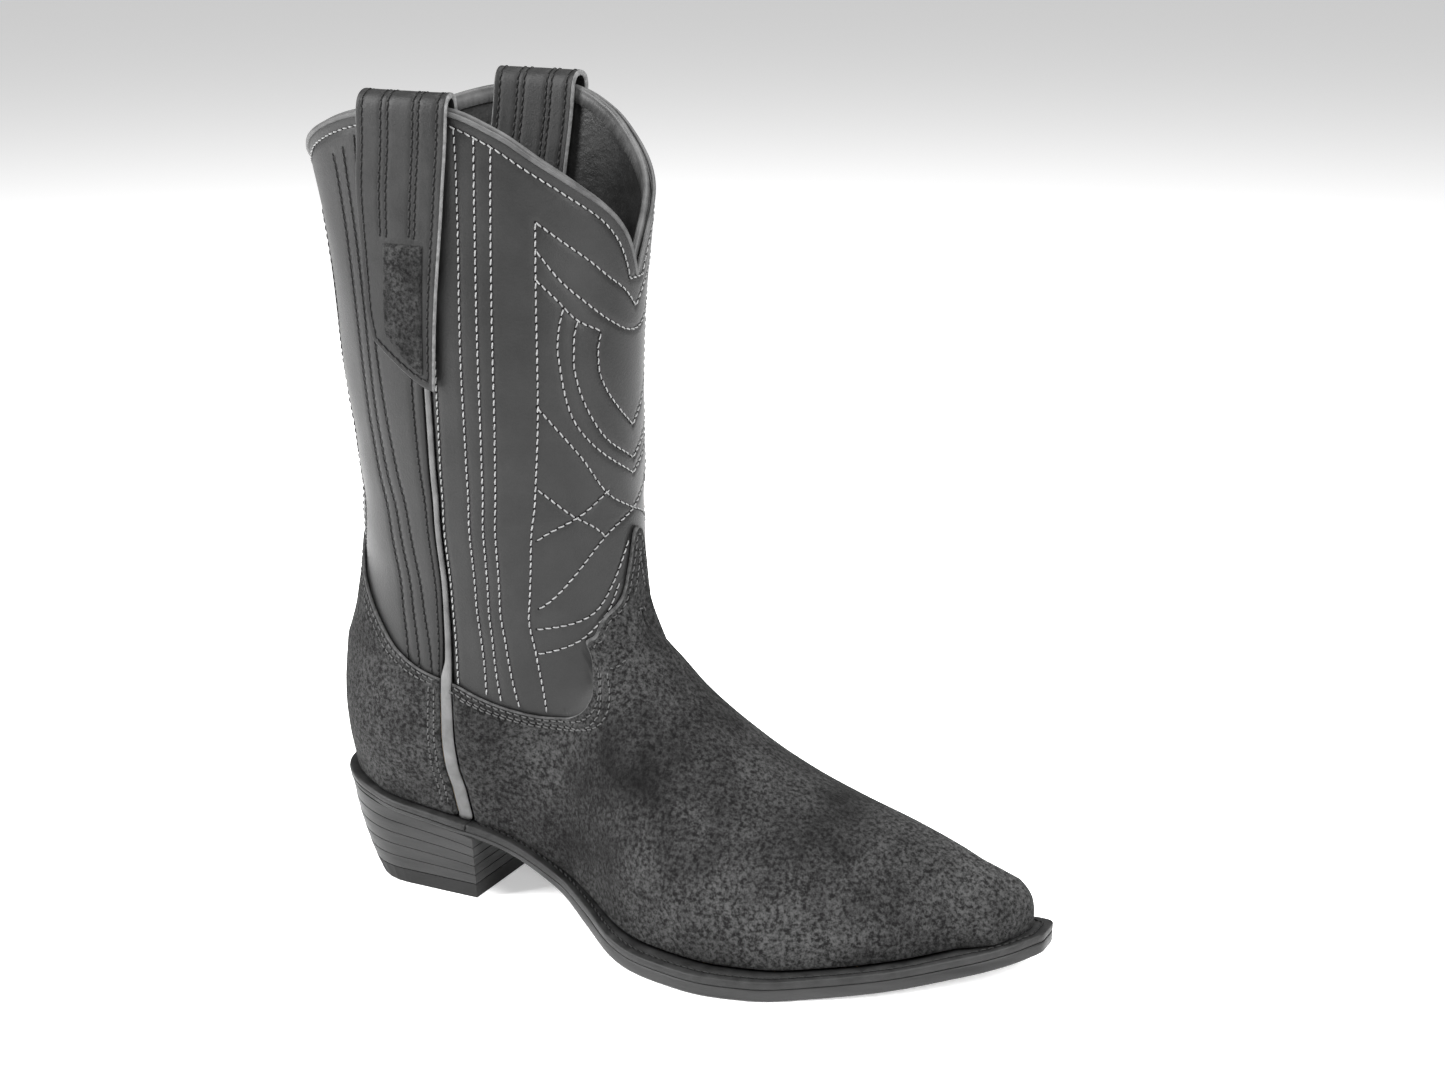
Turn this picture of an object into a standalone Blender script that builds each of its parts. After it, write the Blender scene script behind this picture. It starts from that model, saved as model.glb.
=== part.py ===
"""Western boot, right foot, as separate stitched, lasted, cemented and nailed pieces.

The upper is described on one closed body surface. A loop number q runs from the feather line
(q = 0, where the upper meets the sole) over the foot to the ankle (q = 1) and up the leg
(q = 2), and an angle phi runs round the boot: 0 at the back, 90 at the outer side seam, 180 at
the front and 270 at the inner side seam. Every leather piece is a patch of that surface,
thickened between two offsets, so that the layers nest with a small gap.

The design is worked out in millimetres, +X to the toe, +Y to the inner side of the foot, +Z up,
with x = 0 at the back of the heel seat, and is moved at the end so that the origin is at the
bottom centre of the boot.
"""
import math

import bmesh
import bpy
import numpy as np

# ---------------------------------------------------------------- driving dimensions (mm)
MM = 0.001
SOLE_LENGTH = 300.0
UPPER_LENGTH = 291.5       # where the upper ends at the toe
GAP = 0.3                  # kept between neighbouring pieces
SNAP = 0.02                # mesh rows closer than this to an outline move onto it
FEATHER_RISE = 2.6         # the upper's base surface starts this far above the welt
PANEL_THICKNESS = 1.5      # shaft leather, and the heel stiffener in the same layer
PUFF_THICKNESS = 1.3       # toe puff
INTERLINING_THICKNESS = 1.0
COVER_IN, COVER_OUT = 0.4, 1.8        # vamp and counter cover, over the shaft panels
LINING_OUT, LINING_IN = -2.1, -3.3
MARGIN_REACH = 60.0        # mm of turned-in lasting margin for each unit of negative q
MARGIN_Q = -0.12           # the lasting margin is 7 mm wide
MITRE = 1.3                # layers are this much thicker across the corner at the feather line
SEAM_HALF_ANGLE = 2.0      # degrees left open at each side seam for the piping
WELT_THICKNESS = 3.0
WELT_WIDTH = 12.0
WELT_HEEL_END = 70.0       # the welt meets the heel-seat rand at the heel breast
HEEL_BREAST = 73.0
HEEL_CAP_HEIGHT = 6.0
LIFT_COUNT = 5
NAIL_COUNT = 7
NAIL_RADIUS = 1.4
NAIL_LOW, NAIL_HIGH, NAIL_HOLE_DEPTH = 0.3, 3.9, 4.2
CENTRE = (149.606, -4.686)    # bottom centre of the finished boot in design coordinates

# Angles of the mesh columns over half the boot, closer together at the toe.
HALF_COLUMNS = (0, 12, 24, 36, 48, 60, 72, 84, 96, 108, 120, 132, 143, 153, 162, 170, 176, 180)
COLUMNS = HALF_COLUMNS + tuple(360 - a for a in reversed(HALF_COLUMNS[:-1]))
# Loop numbers of the mesh rows.
ROWS = (MARGIN_Q, 0, 0.05, 0.12, 0.24, 0.36, 0.48, 0.6, 0.72, 0.84, 0.96, 1.3, 1.65, 1.85)


def spline(*points):
    """A smooth curve through the points that never overshoots between them."""
    x, y = np.array(points, float).T
    step = np.diff(x)
    slope = np.diff(y) / step
    tangent = np.zeros(len(x))
    tangent[0], tangent[-1] = slope[0], slope[-1]
    for n in range(1, len(x) - 1):
        if slope[n - 1] * slope[n] > 0:
            before, after = 2 * step[n] + step[n - 1], step[n] + 2 * step[n - 1]
            tangent[n] = (before + after) / (before / slope[n - 1] + after / slope[n])

    def value(t):
        t = np.asarray(t, float)
        n = np.clip(np.searchsorted(x, t) - 1, 0, len(x) - 2)
        s = (t - x[n]) / step[n]
        c = np.clip(s, 0, 1)
        inside = ((1 + 2 * c) * (1 - c) ** 2 * y[n] + c * (1 - c) ** 2 * step[n] * tangent[n]
                  + c * c * (3 - 2 * c) * y[n + 1] + c * c * (c - 1) * step[n] * tangent[n + 1])
        ends = np.minimum(s, 0) * step[n] * tangent[0] + np.maximum(s - 1, 0) * step[n] * tangent[-1]
        return inside + ends

    return value


# ---------------------------------------------------------------- profiles of the boot
# Along the foot, against x.
sole_bottom = spline((0, 38), (30, 33), (68, 27.5), (92, 20.5), (115, 11.5), (140, 3), (160, 0),
                     (215, 0), (250, 2.5), (280, 6.5), (300, 10))
sole_edge = spline((0, 5), (70, 5), (110, 6), (135, 8), (300, 8))
outer_edge = spline((0, 0), (3, 11), (9, 19), (20, 26), (40, 31), (62, 30.5), (88, 26.5), (110, 29),
                    (130, 39.5), (150, 53), (170, 60), (189, 62.5), (209, 59), (230, 48.5),
                    (251, 37), (271, 22.5), (292, 4), (298, -5), (300, -8))
inner_edge = spline((0, 0), (3, 11), (9, 19), (20, 26), (40, 30), (62, 29.5), (88, 25.5), (110, 25),
                    (130, 28), (160, 35), (190, 38.5), (215, 38.5), (245, 34), (275, 27.5),
                    (298, 22), (300, 20))
edge_to_upper = spline((0, 3.6), (60, 3.6), (100, 4.1), (130, 6.6), (160, 8.1), (300, 8.1))
ridge_height = spline((0, 93), (60, 113), (105, 126), (128, 121.5), (143, 108.5), (156, 95), (173, 81.5),
                      (190, 70.5), (215, 59.3), (244, 49.7), (268, 41.3), (284, 33.5), (296, 25.5))
ridge_side = spline((0, 0), (120, 0), (200, 2), (250, 8), (296, 13))
# Up the leg, against z.
leg_back = spline((25, 8.5), (50, 4), (72, 2.5), (94, 4.5), (116, 9.2), (138, 12.6), (165, 13),
                  (220, 9), (270, 3), (305, -4.5), (340, -12))
leg_front = spline((25, 88), (66, 107), (90, 120.5), (110, 129.5), (128, 133), (145, 133.2), (165, 132.8),
                   (200, 132.8), (240, 134), (280, 137), (340, 141))
leg_half_width = spline((20, 24), (45, 26.5), (58, 31), (72, 33), (100, 32.8), (132, 35.5), (165, 40),
                        (220, 45), (275, 47), (310, 49), (340, 50.5))
# Against the loop number q.
loop_back_height = spline((0, 44.7), (0.2, 56), (0.5, 86), (0.8, 126), (1, 160), (1.04, 166.4), (2, 320))
loop_front_x = spline((0, 289.5), (0.08, 290), (0.2, 275), (0.35, 246), (0.5, 210), (0.65, 178),
                      (0.8, 152), (0.9, 141), (1, 134), (1.04, 134.2), (2, 140))
loop_front_z = spline((0, 18.7), (0.08, 25), (0.2, 39), (0.35, 50), (0.5, 62), (0.65, 79),
                      (0.8, 101), (0.9, 123), (1, 160), (1.04, 166.4), (2, 320))
seam_x = spline((0, 68), (0.3, 66), (0.6, 66), (1, 68), (1.5, 69), (2, 70))


def welt_top(x):
    return sole_bottom(x) + sole_edge(x)


def upper_half_width(x, edge):
    """Half-width of the upper at its feather line, inside the given sole edge."""
    shrink = edge_to_upper(x)
    towards_toe = np.clip((x - 240) / 60, 0, 1)
    return edge(x + shrink * towards_toe) - shrink


def leg_squared(x, z):
    back, front = leg_back(z), leg_front(z)
    centre, reach = (back + front) / 2, (front - back) / 2
    return leg_half_width(z) ** 2 * (1 - np.abs((x - centre) / reach) ** 2.4)


def foot_squared(x, z):
    low, high = welt_top(x) + FEATHER_RISE, ridge_height(x)
    t = (z - low) / (high - low)
    arch = np.where(t > 0.25, 1 - (np.abs(t - 0.25) / 0.75) ** 2, 1 - 0.12 * (np.abs(0.25 - t) / 0.25) ** 2)
    ends = np.clip(np.minimum((x - 8) / 20, (UPPER_LENGTH - x) / 7), -3, 1)
    factor = np.where((arch > 0) & (ends > 0), arch * np.clip(ends, 0, 1), np.minimum(arch, ends))
    half = (upper_half_width(x, outer_edge) + upper_half_width(x, inner_edge)) / 2
    return np.maximum(half, 15) ** 2 * factor


def width_squared(x, z):
    """Square of the boot's half-width: the leg and the foot run smoothly into each other."""
    leg, foot = leg_squared(x, z), foot_squared(x, z)
    blend = 260 * np.clip((z - 20) / 60, 0.02, 1)
    return 0.5 * (leg + foot + np.sqrt((leg - foot) ** 2 + blend ** 2)) - 0.15 * blend


def middle(x, z):
    """y of the boot's middle: straight up the leg, turned inwards over the forefoot."""
    up = np.clip((z - 75) / 80, 0, 1)
    in_foot = 1 - up ** 2 * (3 - 2 * up)
    low = welt_top(x)
    t = np.clip((z - low) / (ridge_height(x) - low), 0, 1) ** 1.3
    at_sole = (upper_half_width(x, inner_edge) - upper_half_width(x, outer_edge)) / 2
    return in_foot * (at_sole * (1 - t) + ridge_side(x) * t)


def loop_point(q, s):
    """x and z at the fraction s of the way from back to front along loop q."""
    back_z = loop_back_height(q)
    back_x = leg_back(back_z)
    front_x, front_z = loop_front_x(q), loop_front_z(q)
    x = back_x + s * (front_x - back_x)
    sag = np.clip(1 - q / 0.6, 0, 1) ** 2
    along = back_x + np.clip(s, 0, 1) * (front_x - back_x)
    dip = welt_top(along) - welt_top(back_x) - np.clip(s, 0, 1) * (welt_top(front_x) - welt_top(back_x))
    return x, back_z + s * (front_z - back_z) + sag * dip


def find_end(q, inside, outside):
    """The fraction s at which each loop's width falls to nothing."""
    near, far = np.full_like(q, inside), np.full_like(q, outside)
    for _ in range(40):
        half = (near + far) / 2
        keep = width_squared(*loop_point(q, half)) > 0
        near, far = np.where(keep, half, near), np.where(keep, far, half)
    return (near + far) / 2


LOOPS = np.linspace(0, 2.3, 461)
LOOP_BACK = find_end(LOOPS, 0.3, -0.12)
LOOP_FRONT = find_end(LOOPS, 0.7, 1.12)


def body_point(q, phi):
    """A point of the body surface; below q = 0 the margin turns in under the foot."""
    q, phi = np.broadcast_arrays(np.asarray(q, float), np.asarray(phi, float))
    loop = np.maximum(q, 0)
    back, front = np.interp(loop, LOOPS, LOOP_BACK), np.interp(loop, LOOPS, LOOP_FRONT)
    back_x = leg_back(loop_back_height(loop))
    seam = ((seam_x(loop) - back_x) / (loop_front_x(loop) - back_x) - back) / (front - back)
    share = (1 - np.cos(np.radians(phi))) / 2
    share = share / (share + (1 - share) * (1 - seam) / seam)
    x, z = loop_point(loop, back + share * (front - back))
    half = np.sqrt(np.maximum(width_squared(x, z), 0))
    y = middle(x, z) + np.where(phi % 360 < 180, -half, half)
    point = np.stack([x, y, z], -1)
    spine = np.stack([np.clip(x, 25, 268), middle(np.clip(x, 25, 268), welt_top(x)), z], -1)
    inward = spine - point
    inward /= np.maximum(np.linalg.norm(inward, axis=-1, keepdims=True), 1e-6)
    return point + inward * (np.maximum(-q, 0) * MARGIN_REACH)[..., None]


def body_normal(q, phi):
    step_q, step_phi = 0.006, 0.4
    q, phi = np.asarray(q, float), np.asarray(phi, float)
    along_q = body_point(q + step_q, phi) - body_point(q - step_q, phi)
    along_phi = body_point(q, phi + step_phi) - body_point(q, phi - step_phi)
    normal = np.cross(along_phi, along_q)
    return normal / np.linalg.norm(normal, axis=-1, keepdims=True)


def surface(q, phi, offset):
    """The point that lies offset mm outside the body surface, mitred at the feather line."""
    return body_point(q, phi) + body_normal(q, phi) * offset * (MITRE if q == 0 else 1)


def angle_at(x):
    """The angle at which the feather line reaches x on the outer side."""
    angles = np.linspace(0, 180, 361)
    return float(np.interp(x, body_point(0, angles)[:, 0], angles))


# ---------------------------------------------------------------- outlines on the surface
def mirrored(curve):
    """The same outline on both sides of the boot."""
    return lambda phi: curve(180 - np.abs(np.asarray(phi, float) % 360 - 180))


front_top = mirrored(spline((88, 1.985), (101, 1.975), (117, 1.93), (131, 1.87), (146, 1.81),
                            (162, 1.745), (171, 1.69), (177, 1.63), (180, 1.59)))
back_top = mirrored(spline((0, 1.78), (6, 1.8), (28, 1.85), (41, 1.895), (72, 1.965), (92, 1.985)))
vamp_top = mirrored(spline((85, 0.64), (93, 0.632), (100, 0.61), (107, 0.592), (113, 0.583), (118, 0.592),
                           (123, 0.62), (130, 0.685), (134, 0.74), (137, 0.8), (141, 0.85), (146, 0.862),
                           (156, 0.898), (168, 0.925), (173, 0.955), (177, 0.985), (180, 0.99)))
counter_top = mirrored(spline((0, 0.93), (8, 0.915), (30, 0.845), (46, 0.79), (58, 0.735), (70, 0.675),
                              (83, 0.64), (93, 0.632)))
puff_end = mirrored(spline((0, -0.3), (130, -0.3), (143, MARGIN_Q), (153, 0.06), (162, 0.2), (170, 0.285),
                           (180, 0.33)))
EDGE_TRIM = 0.006          # in loop numbers: half a millimetre left open between pieces of one layer
PANEL_TUCK = 0.05          # the shaft panels reach this far under the vamp and counter cover


def front_panel_low(phi):
    return vamp_top(phi) - PANEL_TUCK


def back_panel_low(phi):
    return counter_top(phi) - PANEL_TUCK


def margin(_):
    return MARGIN_Q


def puff_or_margin(phi):
    return max(float(puff_end(phi)), MARGIN_Q)


# ---------------------------------------------------------------- mesh helpers
def add_piece(name, points, faces, finish, smooth_angle=40):
    """One named object from points in millimetres, with its own material."""
    colour, roughness, metallic = finish
    mesh = bpy.data.meshes.new(name)
    shifted = (np.asarray(points, float) - (CENTRE[0], CENTRE[1], 0)) * MM
    mesh.from_pydata(shifted.tolist(), [], faces)
    body = bmesh.new()
    body.from_mesh(mesh)
    bmesh.ops.recalc_face_normals(body, faces=body.faces)
    body.to_mesh(mesh)
    body.free()
    mesh.shade_smooth()
    mesh.set_sharp_from_angle(angle=math.radians(smooth_angle))
    material = bpy.data.materials.new(name)
    material.use_nodes = True
    shader = material.node_tree.nodes["Principled BSDF"]
    shader.inputs["Base Color"].default_value = (*colour, 1)
    shader.inputs["Roughness"].default_value = roughness
    shader.inputs["Metallic"].default_value = metallic
    mesh.materials.append(material)
    piece = bpy.data.objects.new(name, mesh)
    bpy.context.scene.collection.objects.link(piece)
    return piece


def triangles(*corners):
    """Triangles for a four-cornered cell, leaving out corners that have run together."""
    ring = [c for n, c in enumerate(corners) if c != corners[n - 1]]
    if len(ring) < 3:
        return []
    return [(ring[0], ring[n], ring[n + 1]) for n in range(1, len(ring) - 1)]


def loft(rings, name, finish, closed=True, capped=True):
    """A closed body from equal rings of points; the last joins the first when closed is False."""
    rings = np.asarray(rings, float)
    count, size = rings.shape[:2]
    faces = []
    for n in range(count if not closed else count - 1):
        for m in range(size):
            a, b = n * size + m, n * size + (m + 1) % size
            c, d = ((n + 1) % count) * size + (m + 1) % size, ((n + 1) % count) * size + m
            faces += [(a, b, c), (a, c, d)]
    if closed and capped:
        faces.append(tuple(range(size)))
        faces.append(tuple(reversed(range((count - 1) * size, count * size))))
    return add_piece(name, rings.reshape(-1, 3), faces, finish)


def column_angles(first, last):
    """The mesh columns strictly between two angles, with the two angles themselves."""
    turned = sorted({a + turn for a in COLUMNS for turn in (-360, 0, 360)})
    return np.array([first] + [a for a in turned if first + 1.5 < a < last - 1.5] + [last], float)


def column_rows(angle, outlines, trim):
    """Loop numbers up one mesh column: every row between the outlines, and the outlines.

    The first and last outlines are drawn in by the two trims.
    """
    marks = np.maximum.accumulate([float(outline(angle)) for outline in outlines])
    rows = [marks[0]]
    for low, high in zip(marks, marks[1:]):
        rows += [low if q < low + SNAP else high if q > high - SNAP else q for q in ROWS]
        rows.append(high)
    return [min(max(q, marks[0] + trim[0]), marks[-1] - trim[1]) for q in rows]


def shell(name, first, last, outlines, inner, outer, finish, trim=(0, 0)):
    """A leather patch between two angles, thickened between two offsets.

    The outlines run from its lower edge, by way of the edges of its neighbours, to its upper
    edge, so that the layers share their mesh lines.
    """
    angles = column_angles(first, last)
    points, sides = [], []
    for offset in (outer, inner):
        side = []
        for angle in angles:
            column, last_q = [], None
            for q in column_rows(angle, outlines, trim):
                if q != last_q:
                    points.append(surface(q, angle, offset))
                    last_q = q
                column.append(len(points) - 1)
            side.append(column)
        sides.append(side)
    outside, inside = sides
    faces = []
    rows = len(outside[0])
    for i in range(len(angles) - 1):
        for j in range(rows - 1):
            faces += triangles(outside[i][j], outside[i + 1][j], outside[i + 1][j + 1], outside[i][j + 1])
            faces += [face[::-1] for face in
                      triangles(inside[i][j], inside[i + 1][j], inside[i + 1][j + 1], inside[i][j + 1])]
        faces += triangles(outside[i][0], inside[i][0], inside[i + 1][0], outside[i + 1][0])
        faces += triangles(outside[i][-1], outside[i + 1][-1], inside[i + 1][-1], inside[i][-1])
    for j in range(rows - 1):
        faces += triangles(outside[0][j], outside[0][j + 1], inside[0][j + 1], inside[0][j])
        faces += triangles(inside[-1][j], inside[-1][j + 1], outside[-1][j + 1], outside[-1][j])
    return add_piece(name, points, faces, finish)


# ---------------------------------------------------------------- finishes: colour, roughness, metallic
SMOOTH_LEATHER = ((0.028, 0.028, 0.03), 0.38, 0)
ROUGH_LEATHER = ((0.022, 0.022, 0.023), 0.9, 0)
LINING_LEATHER = ((0.02, 0.02, 0.021), 0.5, 0)
EDGE_LEATHER = ((0.035, 0.034, 0.034), 0.42, 0)
SOLE_LEATHER = ((0.2, 0.13, 0.08), 0.6, 0)
STIFFENER = ((0.45, 0.33, 0.2), 0.8, 0)
CORK = ((0.4, 0.26, 0.14), 0.9, 0)
STEEL = ((0.5, 0.5, 0.52), 0.35, 1)
BRASS = ((0.6, 0.45, 0.18), 0.35, 1)
RUBBER = ((0.015, 0.015, 0.015), 0.6, 0)


# ---------------------------------------------------------------- upper
def build_upper():
    seam = SEAM_HALF_ANGLE
    front = (90 + seam, 270 - seam)
    back = (-90 + seam, 90 - seam)
    front_lining, back_lining = (90.4, 269.6), (-89.6, 89.6)
    shell("front_shaft_panel", *front, (front_panel_low, vamp_top, front_top),
          -PANEL_THICKNESS, 0, SMOOTH_LEATHER)
    shell("back_shaft_panel", *back, (back_panel_low, counter_top, back_top),
          -PANEL_THICKNESS, 0, SMOOTH_LEATHER)
    shell("vamp", *front, (margin, puff_end, front_panel_low, vamp_top), COVER_IN, COVER_OUT, ROUGH_LEATHER)
    shell("counter_cover", *back, (margin, back_panel_low, counter_top), COVER_IN, COVER_OUT, ROUGH_LEATHER)
    shell("front_lining", *front_lining, (front_panel_low, vamp_top, front_top),
          LINING_IN, LINING_OUT, LINING_LEATHER)
    shell("vamp_lining", *front_lining, (margin, puff_end, front_panel_low),
          LINING_IN, LINING_OUT, LINING_LEATHER, trim=(0, EDGE_TRIM))
    shell("back_lining", *back_lining, (margin, back_panel_low, counter_top, back_top),
          LINING_IN, LINING_OUT, LINING_LEATHER)
    shell("toe_puff", 143, 217, (margin, puff_or_margin), -PUFF_THICKNESS, 0, STIFFENER, trim=(0, EDGE_TRIM))
    shell("vamp_interlining", *front, (puff_or_margin, front_panel_low),
          -INTERLINING_THICKNESS, 0, STIFFENER, trim=(0, EDGE_TRIM))
    shell("heel_stiffener", *back, (margin, back_panel_low), -PANEL_THICKNESS, 0, STIFFENER,
          trim=(0, EDGE_TRIM))


PIPING_HALF_ANGLE = 1.5
PIPING_TOP = 1.94


def piping_height(q):
    """The piping stands a little proud of the leather beside it, thicker between the covers."""
    over_covers = np.clip((0.72 - q) / 0.08, 0, 1)
    return 0.9 + 1.6 * over_covers * over_covers * (3 - 2 * over_covers)


def side_piping(name, seam_angle):
    """A folded strip in the side seam, round on its outer face, from the sole to the top."""
    stations = np.concatenate([np.linspace(0.0, 1.0, 17), np.linspace(1.12, PIPING_TOP, 6)])
    rings = []
    for q in stations:
        high = float(piping_height(q))
        section = [(-1, -PANEL_THICKNESS), (-1, high - 0.9), (-0.55, high), (0.55, high),
                   (1, high - 0.9), (1, -PANEL_THICKNESS)]
        rings.append([surface(q, seam_angle + side * PIPING_HALF_ANGLE, offset) for side, offset in section])
    loft(rings, name, SMOOTH_LEATHER)


BINDING_DEPTH = 5.0        # how far the top binding reaches down each face
BINDING_SECTION = ((-BINDING_DEPTH, 0.5), (0.5, 0.5), (0.5, -3.8), (-BINDING_DEPTH, -3.8),
                   (-BINDING_DEPTH, -4.5), (0.9, -4.5), (1.7, -3.7), (1.7, 0.4), (0.9, 1.2),
                   (-BINDING_DEPTH, 1.2))


def top_binding(name, outline, first, last):
    """A strip folded over the top edge of a shaft panel and its lining."""
    rings = []
    for angle in column_angles(first, last):
        before, after = max(angle - 1, first), min(angle + 1, last)
        along = body_point(outline(after), after) - body_point(outline(before), before)
        normal = body_normal(outline(angle), angle)
        up = np.cross(normal, along / np.linalg.norm(along))
        up *= math.copysign(1, up[2])
        edge = body_point(outline(angle), angle)
        rings.append([edge + up * height + normal * offset for height, offset in BINDING_SECTION])
    loft(rings, name, SMOOTH_LEATHER)


# ---------------------------------------------------------------- pull straps
STRAP_THICKNESS = 2.0
STRAP_OUT = 2.9            # offset of the strap's middle on the outer face
STRAP_IN = -6.2            # and on the lining
STRAP_INNER_END = 1.62
strap_back = spline((1.33, 74), (1.43, 70.5), (1.525, 68), (1.765, 69), (1.925, 72), (2.1, 74))
strap_front = spline((1.33, 95), (1.545, 97.5), (1.78, 100.5), (1.95, 102.5), (2.1, 103))
STRAP_TIP = 1.335          # the front corner is the lowest
STRAP_SHOULDER = 1.44      # and the curved end rises to here at the back


def strap_end(share):
    """The strap's curved lower end, lowest at its front edge."""
    return STRAP_TIP + (STRAP_SHOULDER - STRAP_TIP) * (1 - share) ** 1.6


def strap_path(share):
    """q and offset of the strap's middle from its lower end, over the top and down the lining."""
    low = strap_end(share)
    outer = [(low + (1.955 - low) * t, STRAP_OUT) for t in np.linspace(0, 1, 7)]
    arch = [(1.986, 2.7), (2.004, 1.8), (2.013, -0.1), (2.014, -1.7), (2.013, -3.3), (2.004, -5.2), (1.986, -6)]
    inner = [(q, STRAP_IN) for q in np.linspace(1.95, STRAP_INNER_END, 5)]
    return outer + arch + inner


def pull_strap(name, mirror):
    """A double strap from the outer face, in a loop over the top line, to the lining."""
    shares = np.linspace(0, 1, 6)
    middle_points = []
    for share in shares:
        row = []
        for q, offset in strap_path(share):
            angle = strap_back(q) + share * (strap_front(q) - strap_back(q))
            row.append(surface(q, 360 - angle if mirror else angle, offset))
        middle_points.append(row)
    grid = np.array(middle_points)
    along = np.gradient(grid, axis=1)
    across = np.gradient(grid, axis=0)
    normal = np.cross(across, along)
    normal *= STRAP_THICKNESS / 2 / np.linalg.norm(normal, axis=-1, keepdims=True)
    loft(np.concatenate([grid + normal, (grid - normal)[::-1]]).transpose(1, 0, 2), name, SMOOTH_LEATHER)


INLAY_IN, INLAY_OUT = 4.2, 4.9
INLAY_TOP = 1.675
inlay_back = spline((1.36, 78), (1.485, 76.5), (1.68, 79))
inlay_front = spline((1.36, 91.3), (1.68, 93.5))


def strap_inlay(name, mirror):
    """A rough-leather patch on the strap's outer face, square above and curved to a point below."""
    rings = []
    for share in np.linspace(0, 1, 5):
        low = 1.372 + 0.09 * (1 - share) ** 1.5
        ring = []
        for offset, heights in ((INLAY_OUT, np.linspace(low, INLAY_TOP, 6)),
                                (INLAY_IN, np.linspace(INLAY_TOP, low, 6))):
            for q in heights:
                angle = inlay_back(q) + share * (inlay_front(q) - inlay_back(q))
                ring.append(surface(q, 360 - angle if mirror else angle, offset))
        rings.append(ring)
    loft(rings, name, ROUGH_LEATHER)


# ---------------------------------------------------------------- bottom
SOLE_STATIONS = (0.6, 3, 6, 10, 16, 24, 34, 48, 62, 75, 90, 105, 120, 135, 150, 165, 180, 195, 210,
                 225, 240, 255, 268, 280, 290, 297.5, SOLE_LENGTH)


def sole_plate(name, low, high, finish):
    """The full outline of the sole between two heights."""
    rings = []
    for x in SOLE_STATIONS:
        left, right = -float(outer_edge(x)), float(inner_edge(x))
        rings.append([(x, left, low(x)), (x, right, low(x)), (x, right, high(x)), (x, left, high(x))])
    loft(rings, name, finish)


def inner_plate(name, first, last, inset, low, high, finish):
    """A plate inside the feather line between two angles, drawn in by the inset."""
    rings = []
    for angle in [first] + [a for a in HALF_COLUMNS if first + 3 < a < last - 3] + [last]:
        ring = []
        for phi in (angle, 360 - angle):
            x, y, _ = body_point(-inset / MARGIN_REACH, phi)
            ring.append((x, y))
        (x1, y1), (x2, y2) = ring
        rings.append([(x1, y1, low(x1)), (x2, y2, low(x2)), (x2, y2, high(x2)), (x1, y1, high(x1))])
    loft(rings, name, finish)


def sole_band(name, first, finish, low, high, to_toe):
    """A flat strip that follows the sole's edge round the toe or round the heel."""
    if to_toe:
        xs = [first] + [x for x in SOLE_STATIONS if x > first + 1]
    else:
        xs = [first] + [x for x in reversed(SOLE_STATIONS) if x < first - 1]
    outer = [(x, -float(outer_edge(x))) for x in xs]
    inner = [(x, float(inner_edge(x))) for x in reversed(xs)]
    path = np.array(outer + inner)
    centre_x = np.clip(path[:, 0], 30, 262)
    centre_y = (inner_edge(centre_x) - outer_edge(centre_x)) / 2
    inward = np.stack([centre_x, centre_y], 1) - path
    inward /= np.linalg.norm(inward, axis=1, keepdims=True)
    rings = []
    for (x, y), (dx, dy) in zip(path, inward):
        far_x, far_y = x + dx * WELT_WIDTH, y + dy * WELT_WIDTH
        rings.append([(x, y, low(x)), (x, y, high(x)), (far_x, far_y, high(far_x)), (far_x, far_y, low(far_x))])
    loft(rings, name, finish)


def outsole_top(x):
    return welt_top(x) - WELT_THICKNESS - GAP


def build_bottom():
    sole_plate("outsole", sole_bottom, outsole_top, EDGE_LEATHER)
    sole_band("welt", WELT_HEEL_END, EDGE_LEATHER, lambda x: welt_top(x) - WELT_THICKNESS, welt_top, True)
    sole_band("heel_seat_rand", WELT_HEEL_END - 0.5, EDGE_LEATHER,
              lambda x: welt_top(x) - WELT_THICKNESS, welt_top, False)
    insole_low = FEATHER_RISE - LINING_IN + 2 * GAP
    insole_high = insole_low + 3.0
    inner_plate("insole", 8, 170, 8.5, lambda x: welt_top(x) + insole_low,
                lambda x: welt_top(x) + insole_high, SOLE_LEATHER)
    inner_plate("sock_liner", 8, 168, 9.5, lambda x: welt_top(x) + insole_high + GAP,
                lambda x: welt_top(x) + insole_high + GAP + 2.0, LINING_LEATHER)
    inner_plate("cork_filler", angle_at(138), 172, 8.2, lambda x: outsole_top(x) + GAP,
                lambda x: welt_top(x) + insole_low - GAP, CORK)
    inner_plate("shank_board", 10, angle_at(136), 10.5, lambda x: outsole_top(x) + GAP,
                lambda x: welt_top(x) + 1.4, STIFFENER)
    steel_shank()


def steel_shank():
    """A ribbed spring-steel strip under the insole, from the heel seat to the ball."""
    rings = []
    for x in np.linspace(32, 134, 11):
        low, high = float(welt_top(x)) + 2.3, float(welt_top(x)) + 4.3
        half = 6.5
        rings.append([(x, -half, low), (x, half, low), (x, half, high), (x, 2, high), (x, 0, high + 0.9),
                      (x, -2, high), (x, -half, high)])
    loft(rings, "steel_shank", STEEL)


# ---------------------------------------------------------------- heel
heel_back_x = spline((0, 15.5), (0.35, 9), (0.7, 4), (1, 1.2))
heel_half_width = spline((0, 27), (1, 29.6))
heel_roundness = spline((0, 24), (1, 36))
CAP_RISE = HEEL_CAP_HEIGHT / 32    # the cap's share of the heel's height


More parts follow.
